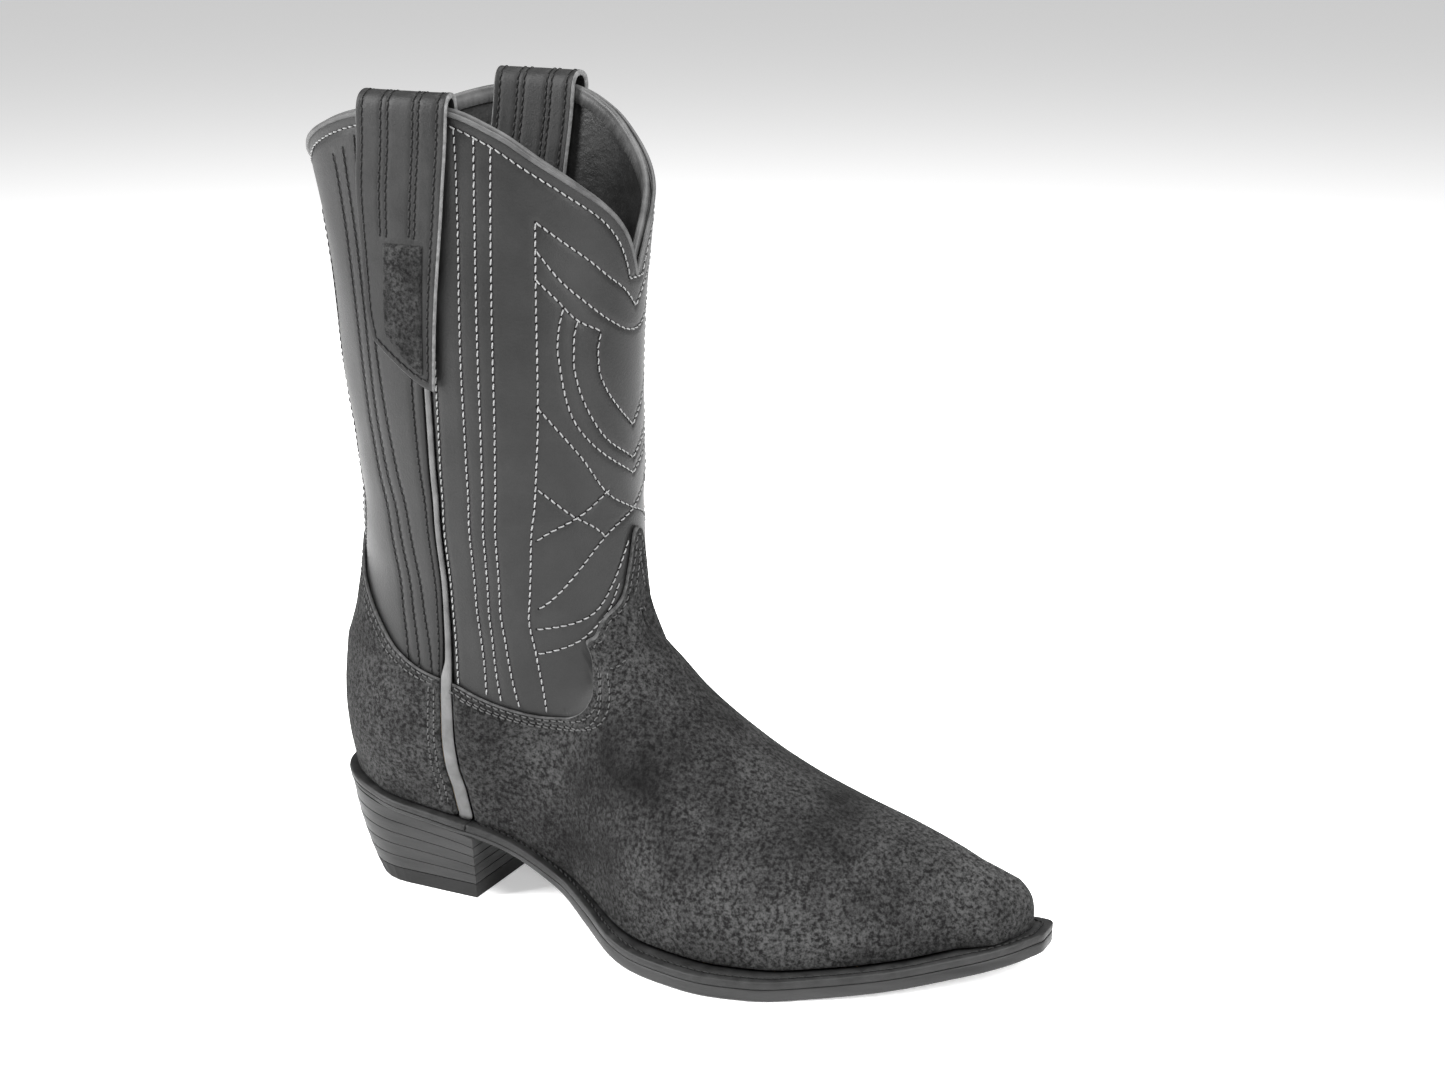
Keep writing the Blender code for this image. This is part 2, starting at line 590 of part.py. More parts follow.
def heel_ring(rise, height):
    """The heel's outline, the fraction rise of the way up from the floor to the sole."""
    back, half, corner = float(heel_back_x(rise)), float(heel_half_width(rise)), float(heel_roundness(rise))
    turns = np.radians(np.linspace(90, -90, 17))
    outline = [(HEEL_BREAST, half)]
    outline += [(back + corner * (1 - math.cos(a)), half * math.sin(a)) for a in turns]
    outline += [(HEEL_BREAST, -half)]
    return [(x, y, height(x)) for x, y in outline]


def lift_height(step):
    """Height against x of the joint above the given number of lifts; the wedge is in the lifts."""
    share = step / LIFT_COUNT
    return lambda x: HEEL_CAP_HEIGHT + share * (float(sole_bottom(x)) - HEEL_CAP_HEIGHT)


def build_heel():
    for n in range(LIFT_COUNT):
        below, above = lift_height(n), lift_height(n + 1)
        rise = [CAP_RISE + (1 - CAP_RISE) * (n + up) / LIFT_COUNT for up in (0, 1)]
        rings = [heel_ring(rise[0], lambda x: below(x) + GAP / 2), heel_ring(rise[1], lambda x: above(x) - GAP / 2)]
        loft(rings, f"heel_lift_{n + 1}", EDGE_LEATHER)
    cap = loft([heel_ring(0, lambda x: 0.0), heel_ring(CAP_RISE, lambda x: HEEL_CAP_HEIGHT - GAP / 2)],
               "heel_cap", RUBBER)
    add_nails(cap)


def cylinder(name, x, y, low, high, radius, sides, finish):
    turns = 2 * math.pi * np.arange(sides) / sides
    rings = [[(x + radius * math.cos(a), y + radius * math.sin(a), z) for a in turns] for z in (low, high)]
    return loft(rings, name, finish)


def add_nails(cap):
    """Short headed nails in a horseshoe, each in a blind hole of the heel cap."""
    for n in range(NAIL_COUNT):
        turn = math.pi * (n / (NAIL_COUNT - 1) - 0.5)
        x, y = 44 - 21 * math.cos(turn), 20 * math.sin(turn)
        cutter = cylinder(f"nail_hole_{n + 1}", x, y, -1, NAIL_HOLE_DEPTH, NAIL_RADIUS + GAP, 8, BRASS)
        cutter.hide_render = True
        cutter.display_type = "WIRE"
        cut = cap.modifiers.new(cutter.name, "BOOLEAN")
        cut.operation = "DIFFERENCE"
        cut.solver = "EXACT"
        cut.object = cutter
        cylinder(f"heel_nail_{n + 1}", x, y, NAIL_LOW, NAIL_HIGH, NAIL_RADIUS, 8, BRASS)


# ---------------------------------------------------------------- assembly
for old in list(bpy.data.objects):
    bpy.data.objects.remove(old, do_unlink=True)

build_upper()
side_piping("side_piping_outer", 90)
side_piping("side_piping_inner", 270)
top_binding("top_binding_front", front_top, 91.5, 268.5)
top_binding("top_binding_back", back_top, -88.5, 88.5)
pull_strap("pull_strap_outer", False)
pull_strap("pull_strap_inner", True)
strap_inlay("strap_inlay_outer", False)
strap_inlay("strap_inlay_inner", True)
build_bottom()
build_heel()
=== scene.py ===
"""Looks of the western boot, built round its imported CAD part.

Every leather piece is a fine version of the same patch of the boot's surface that the CAD piece
covers: q runs up the boot (0 at the sole, 1 at the ankle, 2 at the top), phi round it (90 at the
outer seam, 180 at the front), and the offset in millimetres says which layer it is in.
"""

import bpy
import numpy as np
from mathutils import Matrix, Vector, kdtree


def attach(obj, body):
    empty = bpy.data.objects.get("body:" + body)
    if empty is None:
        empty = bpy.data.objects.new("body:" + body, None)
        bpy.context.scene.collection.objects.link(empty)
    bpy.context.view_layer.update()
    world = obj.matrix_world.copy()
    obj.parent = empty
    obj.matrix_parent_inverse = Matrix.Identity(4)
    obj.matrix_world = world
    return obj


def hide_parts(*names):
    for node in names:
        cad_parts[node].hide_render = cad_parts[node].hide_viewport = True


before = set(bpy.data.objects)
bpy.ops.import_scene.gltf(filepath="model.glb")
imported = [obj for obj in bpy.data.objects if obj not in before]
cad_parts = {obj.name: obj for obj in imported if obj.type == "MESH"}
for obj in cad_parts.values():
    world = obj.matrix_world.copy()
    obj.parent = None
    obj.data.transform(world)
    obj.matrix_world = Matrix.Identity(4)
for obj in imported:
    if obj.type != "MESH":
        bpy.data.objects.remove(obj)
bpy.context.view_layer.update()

MM = 0.001
CENTRE = np.array([149.606, -4.686, 0.0])
UPPER_LENGTH = 291.5       # where the upper ends at the toe
FEATHER_RISE = 2.6         # the upper's base surface starts this far above the welt
MARGIN_REACH = 60.0        # mm of turned-in lasting margin for each unit of negative q
MITRE = 1.3                # layers are this much thicker across the corner at the feather line
MM_PER_LOOP = 160.0        # up the leg
MM_PER_DEGREE = 0.75       # round the leg, about
MARGIN_ROWS = (-0.12, -0.06, -0.012)
PANEL_TUCK = 0.05          # the shaft panels reach this far under the vamp and counter cover


def spline(*points):
    """A smooth curve through the points that never overshoots between them."""
    x, y = np.array(points, float).T
    step = np.diff(x)
    slope = np.diff(y) / step
    tangent = np.zeros(len(x))
    tangent[0], tangent[-1] = slope[0], slope[-1]
    for n in range(1, len(x) - 1):
        if slope[n - 1] * slope[n] > 0:
            before, after = 2 * step[n] + step[n - 1], step[n] + 2 * step[n - 1]
            tangent[n] = (before + after) / (before / slope[n - 1] + after / slope[n])

    def value(t):
        t = np.asarray(t, float)
        n = np.clip(np.searchsorted(x, t) - 1, 0, len(x) - 2)
        s = (t - x[n]) / step[n]
        c = np.clip(s, 0, 1)
        inside = ((1 + 2 * c) * (1 - c) ** 2 * y[n] + c * (1 - c) ** 2 * step[n] * tangent[n]
                  + c * c * (3 - 2 * c) * y[n + 1] + c * c * (c - 1) * step[n] * tangent[n + 1])
        ends = np.minimum(s, 0) * step[n] * tangent[0] + np.maximum(s - 1, 0) * step[n] * tangent[-1]
        return inside + ends

    return value


# ---------------------------------------------------------------- profiles of the boot
# Along the foot, against x.
sole_bottom = spline((0, 38), (30, 33), (68, 27.5), (92, 20.5), (115, 11.5), (140, 3), (160, 0),
                     (215, 0), (250, 2.5), (280, 6.5), (300, 10))
sole_edge = spline((0, 5), (70, 5), (110, 6), (135, 8), (300, 8))
outer_edge = spline((0, 0), (3, 11), (9, 19), (20, 26), (40, 31), (62, 30.5), (88, 26.5), (110, 29),
                    (130, 39.5), (150, 53), (170, 60), (189, 62.5), (209, 59), (230, 48.5),
                    (251, 37), (271, 22.5), (292, 4), (298, -5), (300, -8))
inner_edge = spline((0, 0), (3, 11), (9, 19), (20, 26), (40, 30), (62, 29.5), (88, 25.5), (110, 25),
                    (130, 28), (160, 35), (190, 38.5), (215, 38.5), (245, 34), (275, 27.5),
                    (298, 22), (300, 20))
edge_to_upper = spline((0, 3.6), (60, 3.6), (100, 4.1), (130, 6.6), (160, 8.1), (300, 8.1))
ridge_height = spline((0, 93), (60, 113), (105, 126), (128, 121.5), (143, 108.5), (156, 95), (173, 81.5),
                      (190, 70.5), (215, 59.3), (244, 49.7), (268, 41.3), (284, 33.5), (296, 25.5))
ridge_side = spline((0, 0), (120, 0), (200, 2), (250, 8), (296, 13))
# Up the leg, against z.
leg_back = spline((25, 8.5), (50, 4), (72, 2.5), (94, 4.5), (116, 9.2), (138, 12.6), (165, 13),
                  (220, 9), (270, 3), (305, -4.5), (340, -12))
leg_front = spline((25, 88), (66, 107), (90, 120.5), (110, 129.5), (128, 133), (145, 133.2), (165, 132.8),
                   (200, 132.8), (240, 134), (280, 137), (340, 141))
leg_half_width = spline((20, 24), (45, 26.5), (58, 31), (72, 33), (100, 32.8), (132, 35.5), (165, 40),
                        (220, 45), (275, 47), (310, 49), (340, 50.5))
# Against the loop number q.
loop_back_height = spline((0, 44.7), (0.2, 56), (0.5, 86), (0.8, 126), (1, 160), (1.04, 166.4),
                          (2, 320))
loop_front_x = spline((0, 289.5), (0.08, 290), (0.2, 275), (0.35, 246), (0.5, 210), (0.65, 178),
                      (0.8, 152), (0.9, 141), (1, 134), (1.04, 134.2), (2, 140))
loop_front_z = spline((0, 18.7), (0.08, 25), (0.2, 39), (0.35, 50), (0.5, 62), (0.65, 79),
                      (0.8, 101), (0.9, 123), (1, 160), (1.04, 166.4), (2, 320))
seam_x = spline((0, 68), (0.3, 66), (0.6, 66), (1, 68), (1.5, 69), (2, 70))


def welt_top(x):
    return sole_bottom(x) + sole_edge(x)


def upper_half_width(x, edge):
    """Half-width of the upper at its feather line, inside the given sole edge."""
    shrink = edge_to_upper(x)
    towards_toe = np.clip((x - 240) / 60, 0, 1)
    return edge(x + shrink * towards_toe) - shrink


def leg_squared(x, z):
    back, front = leg_back(z), leg_front(z)
    centre, reach = (back + front) / 2, (front - back) / 2
    return leg_half_width(z) ** 2 * (1 - np.abs((x - centre) / reach) ** 2.4)


def foot_squared(x, z):
    low, high = welt_top(x) + FEATHER_RISE, ridge_height(x)
    t = (z - low) / (high - low)
    arch = np.where(t > 0.25, 1 - (np.abs(t - 0.25) / 0.75) ** 2, 1 - 0.12 * (np.abs(0.25 - t) / 0.25) ** 2)
    ends = np.clip(np.minimum((x - 8) / 20, (UPPER_LENGTH - x) / 7), -3, 1)
    factor = np.where((arch > 0) & (ends > 0), arch * np.clip(ends, 0, 1), np.minimum(arch, ends))
    half = (upper_half_width(x, outer_edge) + upper_half_width(x, inner_edge)) / 2
    return np.maximum(half, 15) ** 2 * factor


def width_squared(x, z):
    """Square of the boot's half-width: the leg and the foot run smoothly into each other."""
    leg, foot = leg_squared(x, z), foot_squared(x, z)
    blend = 260 * np.clip((z - 20) / 60, 0.02, 1)
    return 0.5 * (leg + foot + np.sqrt((leg - foot) ** 2 + blend ** 2)) - 0.15 * blend


def middle(x, z):
    """y of the boot's middle: straight up the leg, turned inwards over the forefoot."""
    up = np.clip((z - 75) / 80, 0, 1)
    in_foot = 1 - up ** 2 * (3 - 2 * up)
    low = welt_top(x)
    t = np.clip((z - low) / (ridge_height(x) - low), 0, 1) ** 1.3
    at_sole = (upper_half_width(x, inner_edge) - upper_half_width(x, outer_edge)) / 2
    return in_foot * (at_sole * (1 - t) + ridge_side(x) * t)


def loop_point(q, s):
    """x and z at the fraction s of the way from back to front along loop q."""
    back_z = loop_back_height(q)
    back_x = leg_back(back_z)
    front_x, front_z = loop_front_x(q), loop_front_z(q)
    x = back_x + s * (front_x - back_x)
    sag = np.clip(1 - q / 0.6, 0, 1) ** 2
    along = back_x + np.clip(s, 0, 1) * (front_x - back_x)
    dip = welt_top(along) - welt_top(back_x) - np.clip(s, 0, 1) * (welt_top(front_x) - welt_top(back_x))
    return x, back_z + s * (front_z - back_z) + sag * dip


def find_end(q, inside, outside):
    """The fraction s at which each loop's width falls to nothing."""
    near, far = np.full_like(q, inside), np.full_like(q, outside)
    for _ in range(40):
        half = (near + far) / 2
        keep = width_squared(*loop_point(q, half)) > 0
        near, far = np.where(keep, half, near), np.where(keep, far, half)
    return (near + far) / 2


LOOPS = np.linspace(0, 2.3, 461)
LOOP_BACK = find_end(LOOPS, 0.3, -0.12)
LOOP_FRONT = find_end(LOOPS, 0.7, 1.12)


def body_point(q, phi):
    """A point of the body surface; below q = 0 the margin turns in under the foot."""
    q, phi = np.broadcast_arrays(np.asarray(q, float), np.asarray(phi, float))
    loop = np.maximum(q, 0)
    back, front = np.interp(loop, LOOPS, LOOP_BACK), np.interp(loop, LOOPS, LOOP_FRONT)
    back_x = leg_back(loop_back_height(loop))
    seam = ((seam_x(loop) - back_x) / (loop_front_x(loop) - back_x) - back) / (front - back)
    share = (1 - np.cos(np.radians(phi))) / 2
    share = share / (share + (1 - share) * (1 - seam) / seam)
    x, z = loop_point(loop, back + share * (front - back))
    half = np.sqrt(np.maximum(width_squared(x, z), 0))
    y = middle(x, z) + np.where(phi % 360 < 180, -half, half)
    point = np.stack([x, y, z], -1)
    spine = np.stack([np.clip(x, 25, 268), middle(np.clip(x, 25, 268), welt_top(x)), z], -1)
    inward = spine - point
    inward /= np.maximum(np.linalg.norm(inward, axis=-1, keepdims=True), 1e-6)
    return point + inward * (np.maximum(-q, 0) * MARGIN_REACH)[..., None]


def body_normal(q, phi):
    step_q, step_phi = 0.006, 0.4
    q, phi = np.asarray(q, float), np.asarray(phi, float)
    along_q = body_point(q + step_q, phi) - body_point(q - step_q, phi)
    along_phi = body_point(q, phi + step_phi) - body_point(q, phi - step_phi)
    normal = np.cross(along_phi, along_q)
    return normal / np.linalg.norm(normal, axis=-1, keepdims=True)


def soft_relief(q, phi):
    """Millimetres by which worn leather swells and sinks over the leg and the ankle."""
    turn = np.radians(phi)
    leg = np.clip((q - 0.5) / 0.3, 0, 1) * np.clip((1.9 - q) / 0.2, 0, 1)
    waves = (0.35 * np.sin(3 * turn + 2.1 * q + 0.6) * np.sin(7.3 * q + 1.1)
             + 0.22 * np.sin(5 * turn - 6.2 * q + 2.0) + 0.16 * np.sin(9 * turn + 11.7 * q))
    creases = 0.35 * np.exp(-((q - 0.98) / 0.14) ** 2) * np.sin(34 * q + 1.6 * np.sin(2 * turn))
    return leg * (waves + creases)


def surface(q, phi, offset):
    """The point that lies offset mm outside the body surface, mitred at the feather line."""
    q, phi, offset = np.broadcast_arrays(*(np.asarray(v, float) for v in (q, phi, offset)))
    mitre = np.where(np.abs(q) < 1e-9, MITRE, 1)
    return body_point(q, phi) + body_normal(q, phi) * ((offset + soft_relief(q, phi)) * mitre)[..., None]


# ---------------------------------------------------------------- outlines
def mirrored(curve):
    """The same outline on both sides of the boot."""
    return lambda phi: curve(180 - np.abs(np.asarray(phi, float) % 360 - 180))


front_top = mirrored(spline((88, 1.985), (101, 1.975), (117, 1.93), (131, 1.87), (146, 1.81),
                            (162, 1.745), (171, 1.69), (177, 1.63), (180, 1.59)))
back_top = mirrored(spline((0, 1.78), (6, 1.8), (28, 1.85), (41, 1.895), (72, 1.965), (92, 1.985)))
vamp_top = mirrored(spline((85, 0.64), (93, 0.632), (100, 0.61), (107, 0.592), (113, 0.583), (118, 0.592),
                           (123, 0.62), (130, 0.685), (134, 0.74), (137, 0.8), (141, 0.85), (146, 0.862),
                           (156, 0.898), (168, 0.925), (173, 0.955), (177, 0.985), (180, 0.99)))
puff_end = mirrored(spline((0, -0.3), (130, -0.3), (143, -0.12), (153, 0.06), (162, 0.2), (170, 0.285),
                           (180, 0.33)))
counter_top = mirrored(spline((0, 0.93), (8, 0.915), (30, 0.845), (46, 0.79), (58, 0.735), (70, 0.675),
                              (83, 0.64), (93, 0.632)))


# ---------------------------------------------------------------- materials
def noise(tree, scale, detail=4.0, roughness=0.55, stretch=(1, 1, 1)):
    coordinates = tree.nodes.new("ShaderNodeTexCoord")
    mapping = tree.nodes.new("ShaderNodeMapping")
    mapping.inputs["Scale"].default_value = stretch
    node = tree.nodes.new("ShaderNodeTexNoise")
    node.inputs["Scale"].default_value = scale
    node.inputs["Detail"].default_value = detail
    node.inputs["Roughness"].default_value = roughness
    tree.links.new(coordinates.outputs["Object"], mapping.inputs["Vector"])
    tree.links.new(mapping.outputs["Vector"], node.inputs["Vector"])
    return node.outputs["Fac"]


def remap(tree, value, low, high, to_low, to_high):
    node = tree.nodes.new("ShaderNodeMapRange")
    for name, number in (("From Min", low), ("From Max", high), ("To Min", to_low), ("To Max", to_high)):
        node.inputs[name].default_value = number
    tree.links.new(value, node.inputs["Value"])
    return node.outputs["Result"]


def combine(tree, operation, a, b):
    node = tree.nodes.new("ShaderNodeMath")
    node.operation = operation
    tree.links.new(a, node.inputs[0])
    tree.links.new(b, node.inputs[1])
    return node.outputs["Value"]


def material(name, dark, light, roughness, patches=(60, 0.4, 0.6), grain=None, stretch=(1, 1, 1),
             sheen=0.0, metallic=0.0, speckle=None, specular=0.15):
    """A procedural finish: a colour that wanders between two, roughness with it, and a bumped grain.

    patches is the scale and range of the slow change; grain is (scale, height in mm, strength);
    speckle is (scale, low, high), a fine brightness noise laid over the slow one.
    """
    made = bpy.data.materials.new(name)
    made.use_nodes = True
    tree = made.node_tree
    shader = tree.nodes["Principled BSDF"]
    slow = noise(tree, patches[0], 5.0, 0.6, stretch)
    share = remap(tree, slow, patches[1], patches[2], 0.0, 1.0)
    if speckle:
        fine = remap(tree, noise(tree, speckle[0], 3.0, 0.7), speckle[1], speckle[2], 0.15, 1.6)
        share = combine(tree, "MULTIPLY", share, fine)
    mix = tree.nodes.new("ShaderNodeMix")
    mix.data_type = "RGBA"
    mix.inputs["A"].default_value = (*dark, 1)
    mix.inputs["B"].default_value = (*light, 1)
    tree.links.new(share, mix.inputs["Factor"])
    tree.links.new(mix.outputs["Result"], shader.inputs["Base Color"])
    tree.links.new(remap(tree, slow, 0.3, 0.7, roughness[0], roughness[1]), shader.inputs["Roughness"])
    shader.inputs["Metallic"].default_value = metallic
    shader.inputs["Specular IOR Level"].default_value = specular
    shader.inputs["Sheen Weight"].default_value = sheen
    shader.inputs["Sheen Roughness"].default_value = 0.45
    if grain:
        bump = tree.nodes.new("ShaderNodeBump")
        bump.inputs["Strength"].default_value = grain[2]
        bump.inputs["Distance"].default_value = grain[1] * MM
        tree.links.new(noise(tree, grain[0], 6.0, 0.62, stretch), bump.inputs["Height"])
        tree.links.new(bump.outputs["Normal"], shader.inputs["Normal"])
    return made


def grey(value):
    return (value, value, value)


SHAFT = material("shaft leather", grey(0.005), grey(0.009), (0.33, 0.42), (45, 0.35, 0.65),
                 grain=(1100, 0.2, 0.6), specular=0.2)
BINDING = material("binding leather", grey(0.03), grey(0.06), (0.36, 0.5), (120, 0.35, 0.65),
                   grain=(900, 0.12, 0.5))
STRAP = material("strap leather", grey(0.005), grey(0.010), (0.42, 0.55), (90, 0.35, 0.65),
                 grain=(1000, 0.2, 0.7))
CUT_EDGE = material("cut leather edge", grey(0.05), grey(0.12), (0.6, 0.75), (500, 0.3, 0.7),
                    grain=(900, 0.2, 0.8))
# The large light patches are partly the nap's own mottling and partly painted soft highlights; the fine
# speckle is the nap.
SUEDE = material("rough-out leather with painted highlight patches", grey(0.0012), grey(0.042), (0.88, 1.0), (19, 0.28, 0.85),
                 grain=(560, 1.0, 1.0), sheen=0.02, speckle=(620, 0.38, 0.64), specular=0.06)
NAP_EDGE = material("rough-out edge", grey(0.015), grey(0.06), (0.85, 0.95), (400, 0.3, 0.7),
                    grain=(900, 0.5, 0.8), sheen=0.05)
LINING = material("lining leather", grey(0.005), grey(0.010), (0.4, 0.55), (60, 0.35, 0.65),
                  grain=(230, 0.9, 0.5))
PIPING = material("piping leather", grey(0.05), grey(0.09), (0.42, 0.55), (150, 0.3, 0.7),
                  grain=(900, 0.1, 0.5))
# Black thread whose sheen is painted into its colour as a light grey.
SHEEN_PAINTED_THREAD = material("black thread with painted sheen", grey(0.09), grey(0.2), (0.55, 0.7), (900, 0.3, 0.7),
                  grain=(3000, 0.1, 0.6))
DARK_THREAD = material("dark thread", grey(0.006), grey(0.012), (0.5, 0.65), (900, 0.3, 0.7),
                       grain=(3000, 0.1, 0.6))
NAP_THREAD = material("thread in the nap", grey(0.02), grey(0.07), (0.7, 0.85), (900, 0.3, 0.7))
# Needle holes: a near-black colour that paints the shade inside each hole.
HOLE_SHADE = material("needle-hole painted shade", grey(0.001), grey(0.002), (0.9, 1.0))
SOLE_EDGE = material("sole edge", grey(0.008), grey(0.022), (0.34, 0.52), (70, 0.3, 0.7),
                     grain=(420, 0.22, 0.6), stretch=(0.25, 0.25, 2.2))
WELT = material("welt leather", grey(0.007), grey(0.018), (0.4, 0.6), (150, 0.3, 0.7),
                grain=(500, 0.2, 0.6))
RUBBER = material("rubber", grey(0.006), grey(0.01), (0.55, 0.7), (150, 0.3, 0.7), grain=(700, 0.15, 0.5))
TAN = material("insole leather", (0.24, 0.15, 0.09), (0.33, 0.22, 0.13), (0.6, 0.75), (90, 0.3, 0.7),
               grain=(600, 0.2, 0.5))
BOARD = material("stiffener board", (0.34, 0.25, 0.15), (0.46, 0.35, 0.22), (0.75, 0.9), (200, 0.3, 0.7))
CORK = material("cork", (0.22, 0.12, 0.06), (0.5, 0.33, 0.18), (0.85, 0.95), (700, 0.35, 0.65),
                grain=(700, 0.5, 0.8))
STEEL = material("spring steel", grey(0.4), grey(0.55), (0.28, 0.4), (200, 0.3, 0.7), metallic=1.0)
BRASS = material("brass", (0.55, 0.4, 0.15), (0.65, 0.5, 0.2), (0.3, 0.45), (300, 0.3, 0.7), metallic=1.0)


# ---------------------------------------------------------------- mesh helpers
def add_piece(name, points, faces, materials, stands_for, choice=None):
    """A piece in world metres from points in design millimetres."""
    mesh = bpy.data.meshes.new(name)
    mesh.from_pydata(((np.asarray(points) - CENTRE) * MM).tolist(), [], faces)
    for made in materials:
        mesh.materials.append(made)
    if choice is not None:
        mesh.polygons.foreach_set("material_index", np.asarray(choice, dtype=np.int32))
    mesh.shade_smooth()
    mesh.validate()
    made = bpy.data.objects.new(name, mesh)
    bpy.context.scene.collection.objects.link(made)
    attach(made, "root")
    if stands_for:
        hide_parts(stands_for)
    return made


def tube_faces(count, size, closed_ends=False):
    """Faces between rings of equal size laid one after another."""
    n, m = np.meshgrid(np.arange(count - 1), np.arange(size), indexing="ij")
    a = n * size + m
    b = n * size + (m + 1) % size
    faces = np.stack([a, b, b + size, a + size], -1).reshape(-1, 4).tolist()
    if closed_ends:
        faces.append(list(range(size))[::-1])
        faces.append(list(range((count - 1) * size, count * size)))
    return faces


def pulled_in(points, normals, tree, depth, reach):
    """Sinks the points that lie near a row of stitches."""
    if tree is None:
        return points
    near = np.array([tree.find(Vector(p))[2] for p in points.reshape(-1, 3).tolist()])
    sunk = depth * np.exp(-(near / reach) ** 2)
    return points - normals * sunk.reshape(points.shape[:-1])[..., None]


def leather(name, first, last, low, high, inner, outer, columns, rows, materials, margin_rows=(),
            tree=None, depth=0.35, reach=1.3, seam_drop=0.7, edge_round=0.5):
    """A closed patch of leather between two angles and two outlines, with softly rounded edges."""
    angles = np.linspace(first, last, columns)
    lows, highs = low(angles), high(angles)
    rise = 0.0062       # loop numbers in a millimetre, over the whole boot
    steps = np.linspace(0, 1, rows)
    up = lows[:, None] + (highs - lows - 0.6 * rise)[:, None] * steps[None, :]
    q_out = np.concatenate([np.repeat(np.array([margin_rows]), columns, 0), up], 1)
    side = np.minimum(angles - first, last - angles)
    drop = seam_drop * np.clip(1 - side / 1.6, 0, 1) ** 2
    off_out = np.full(q_out.shape, float(outer)) - drop[:, None]
    edge_q = np.stack([highs - 0.25 * rise, highs, highs, highs - 0.25 * rise], 1)
    edge_off = np.tile([outer - 0.12, outer - edge_round, inner + 0.3, inner], (columns, 1))
    edge_off[:, :2] -= drop[:, None]
    back = np.linspace(1, 0, 12)
    q_in = (q_out[:, :1] + (highs[:, None] - 0.5 * rise - q_out[:, :1]) * back[None, :])
    if margin_rows:
        q_in[:, -2:] = (0.0, margin_rows[0])
    off_in = np.full(q_in.shape, float(inner))
    q = np.concatenate([q_out, edge_q, q_in], 1)
    off = np.concatenate([off_out, edge_off, off_in], 1)
    phi = np.repeat(angles[:, None], q.shape[1], 1)
    points = surface(q, phi, off)
    if tree is not None:
        count = q_out.shape[1]
        normals = body_normal(q[:, :count], phi[:, :count])
        points[:, :count] = pulled_in(points[:, :count], normals, tree, depth, reach)
    ends = [surface(q[0], phi[0], inner), surface(q[-1], phi[-1], inner)]
    points = np.concatenate([ends[0][None], points, ends[1][None]])
    count, size = points.shape[:2]
    faces = tube_faces(count, size)
    row = np.tile(np.arange(size), count - 1)
    edge_from = q_out.shape[1] - 1
    choice = np.where((row >= edge_from) & (row < edge_from + 4), 1, 0)
    return add_piece(name, points.reshape(-1, 3), faces, materials, name, choice)


# ---------------------------------------------------------------- stitch rows
def curve_points(marks, spacing=0.4):
    """Evenly spaced (q, phi) along a smooth line through the marks."""
    marks = np.array(marks, float)
    t = np.concatenate([[0], np.cumsum(np.hypot(np.diff(marks[:, 0]) * MM_PER_LOOP,
                                                 np.diff(marks[:, 1]) * MM_PER_DEGREE))])
    fine = np.linspace(0, t[-1], max(int(t[-1] / spacing), 8))
    return np.stack([spline(*zip(t, marks[:, 0]))(fine), spline(*zip(t, marks[:, 1]))(fine)], 1)


def both_sides(marks):
    return [marks, [(q, 360 - phi) for q, phi in marks]]


def outline_row(outline, first, last, drop_mm, count=40):
    """A row that follows an outline at a distance below it, measured square to the outline."""
    phi = np.linspace(first, last, count)
    q = outline(phi)
    slope = np.gradient(q, phi) * MM_PER_LOOP / MM_PER_DEGREE
    length = np.sqrt(1 + slope ** 2)
    return [(float(a - drop_mm / c / MM_PER_LOOP), float(b + drop_mm * m / c / MM_PER_DEGREE))
            for a, b, m, c in zip(q, phi, slope, length)]


def path_on(marks, offset):
    fine = curve_points(marks)
    q, phi = fine[:, 0], fine[:, 1]
    return surface(q, phi, offset), body_normal(q, phi)


stitch_points, stitch_faces, hole_shade_points, hole_shade_faces = {}, {}, {}, {}
STITCH_ALONG = np.array([-0.42, -0.36, -0.2, 0.0, 0.2, 0.36, 0.42])     # of the pitch
STITCH_THICK = np.array([0.25, 0.75, 1.0, 1.05, 1.0, 0.75, 0.25])       # of the thread
STITCH_RISE = np.array([-0.45, -0.12, 0.05, 0.1, 0.05, -0.12, -0.45])   # mm above the leather
SLANT = 0.16               # mm by which each end of a stitch is turned aside
HOLE_SHADE_RADIUS = 0.5


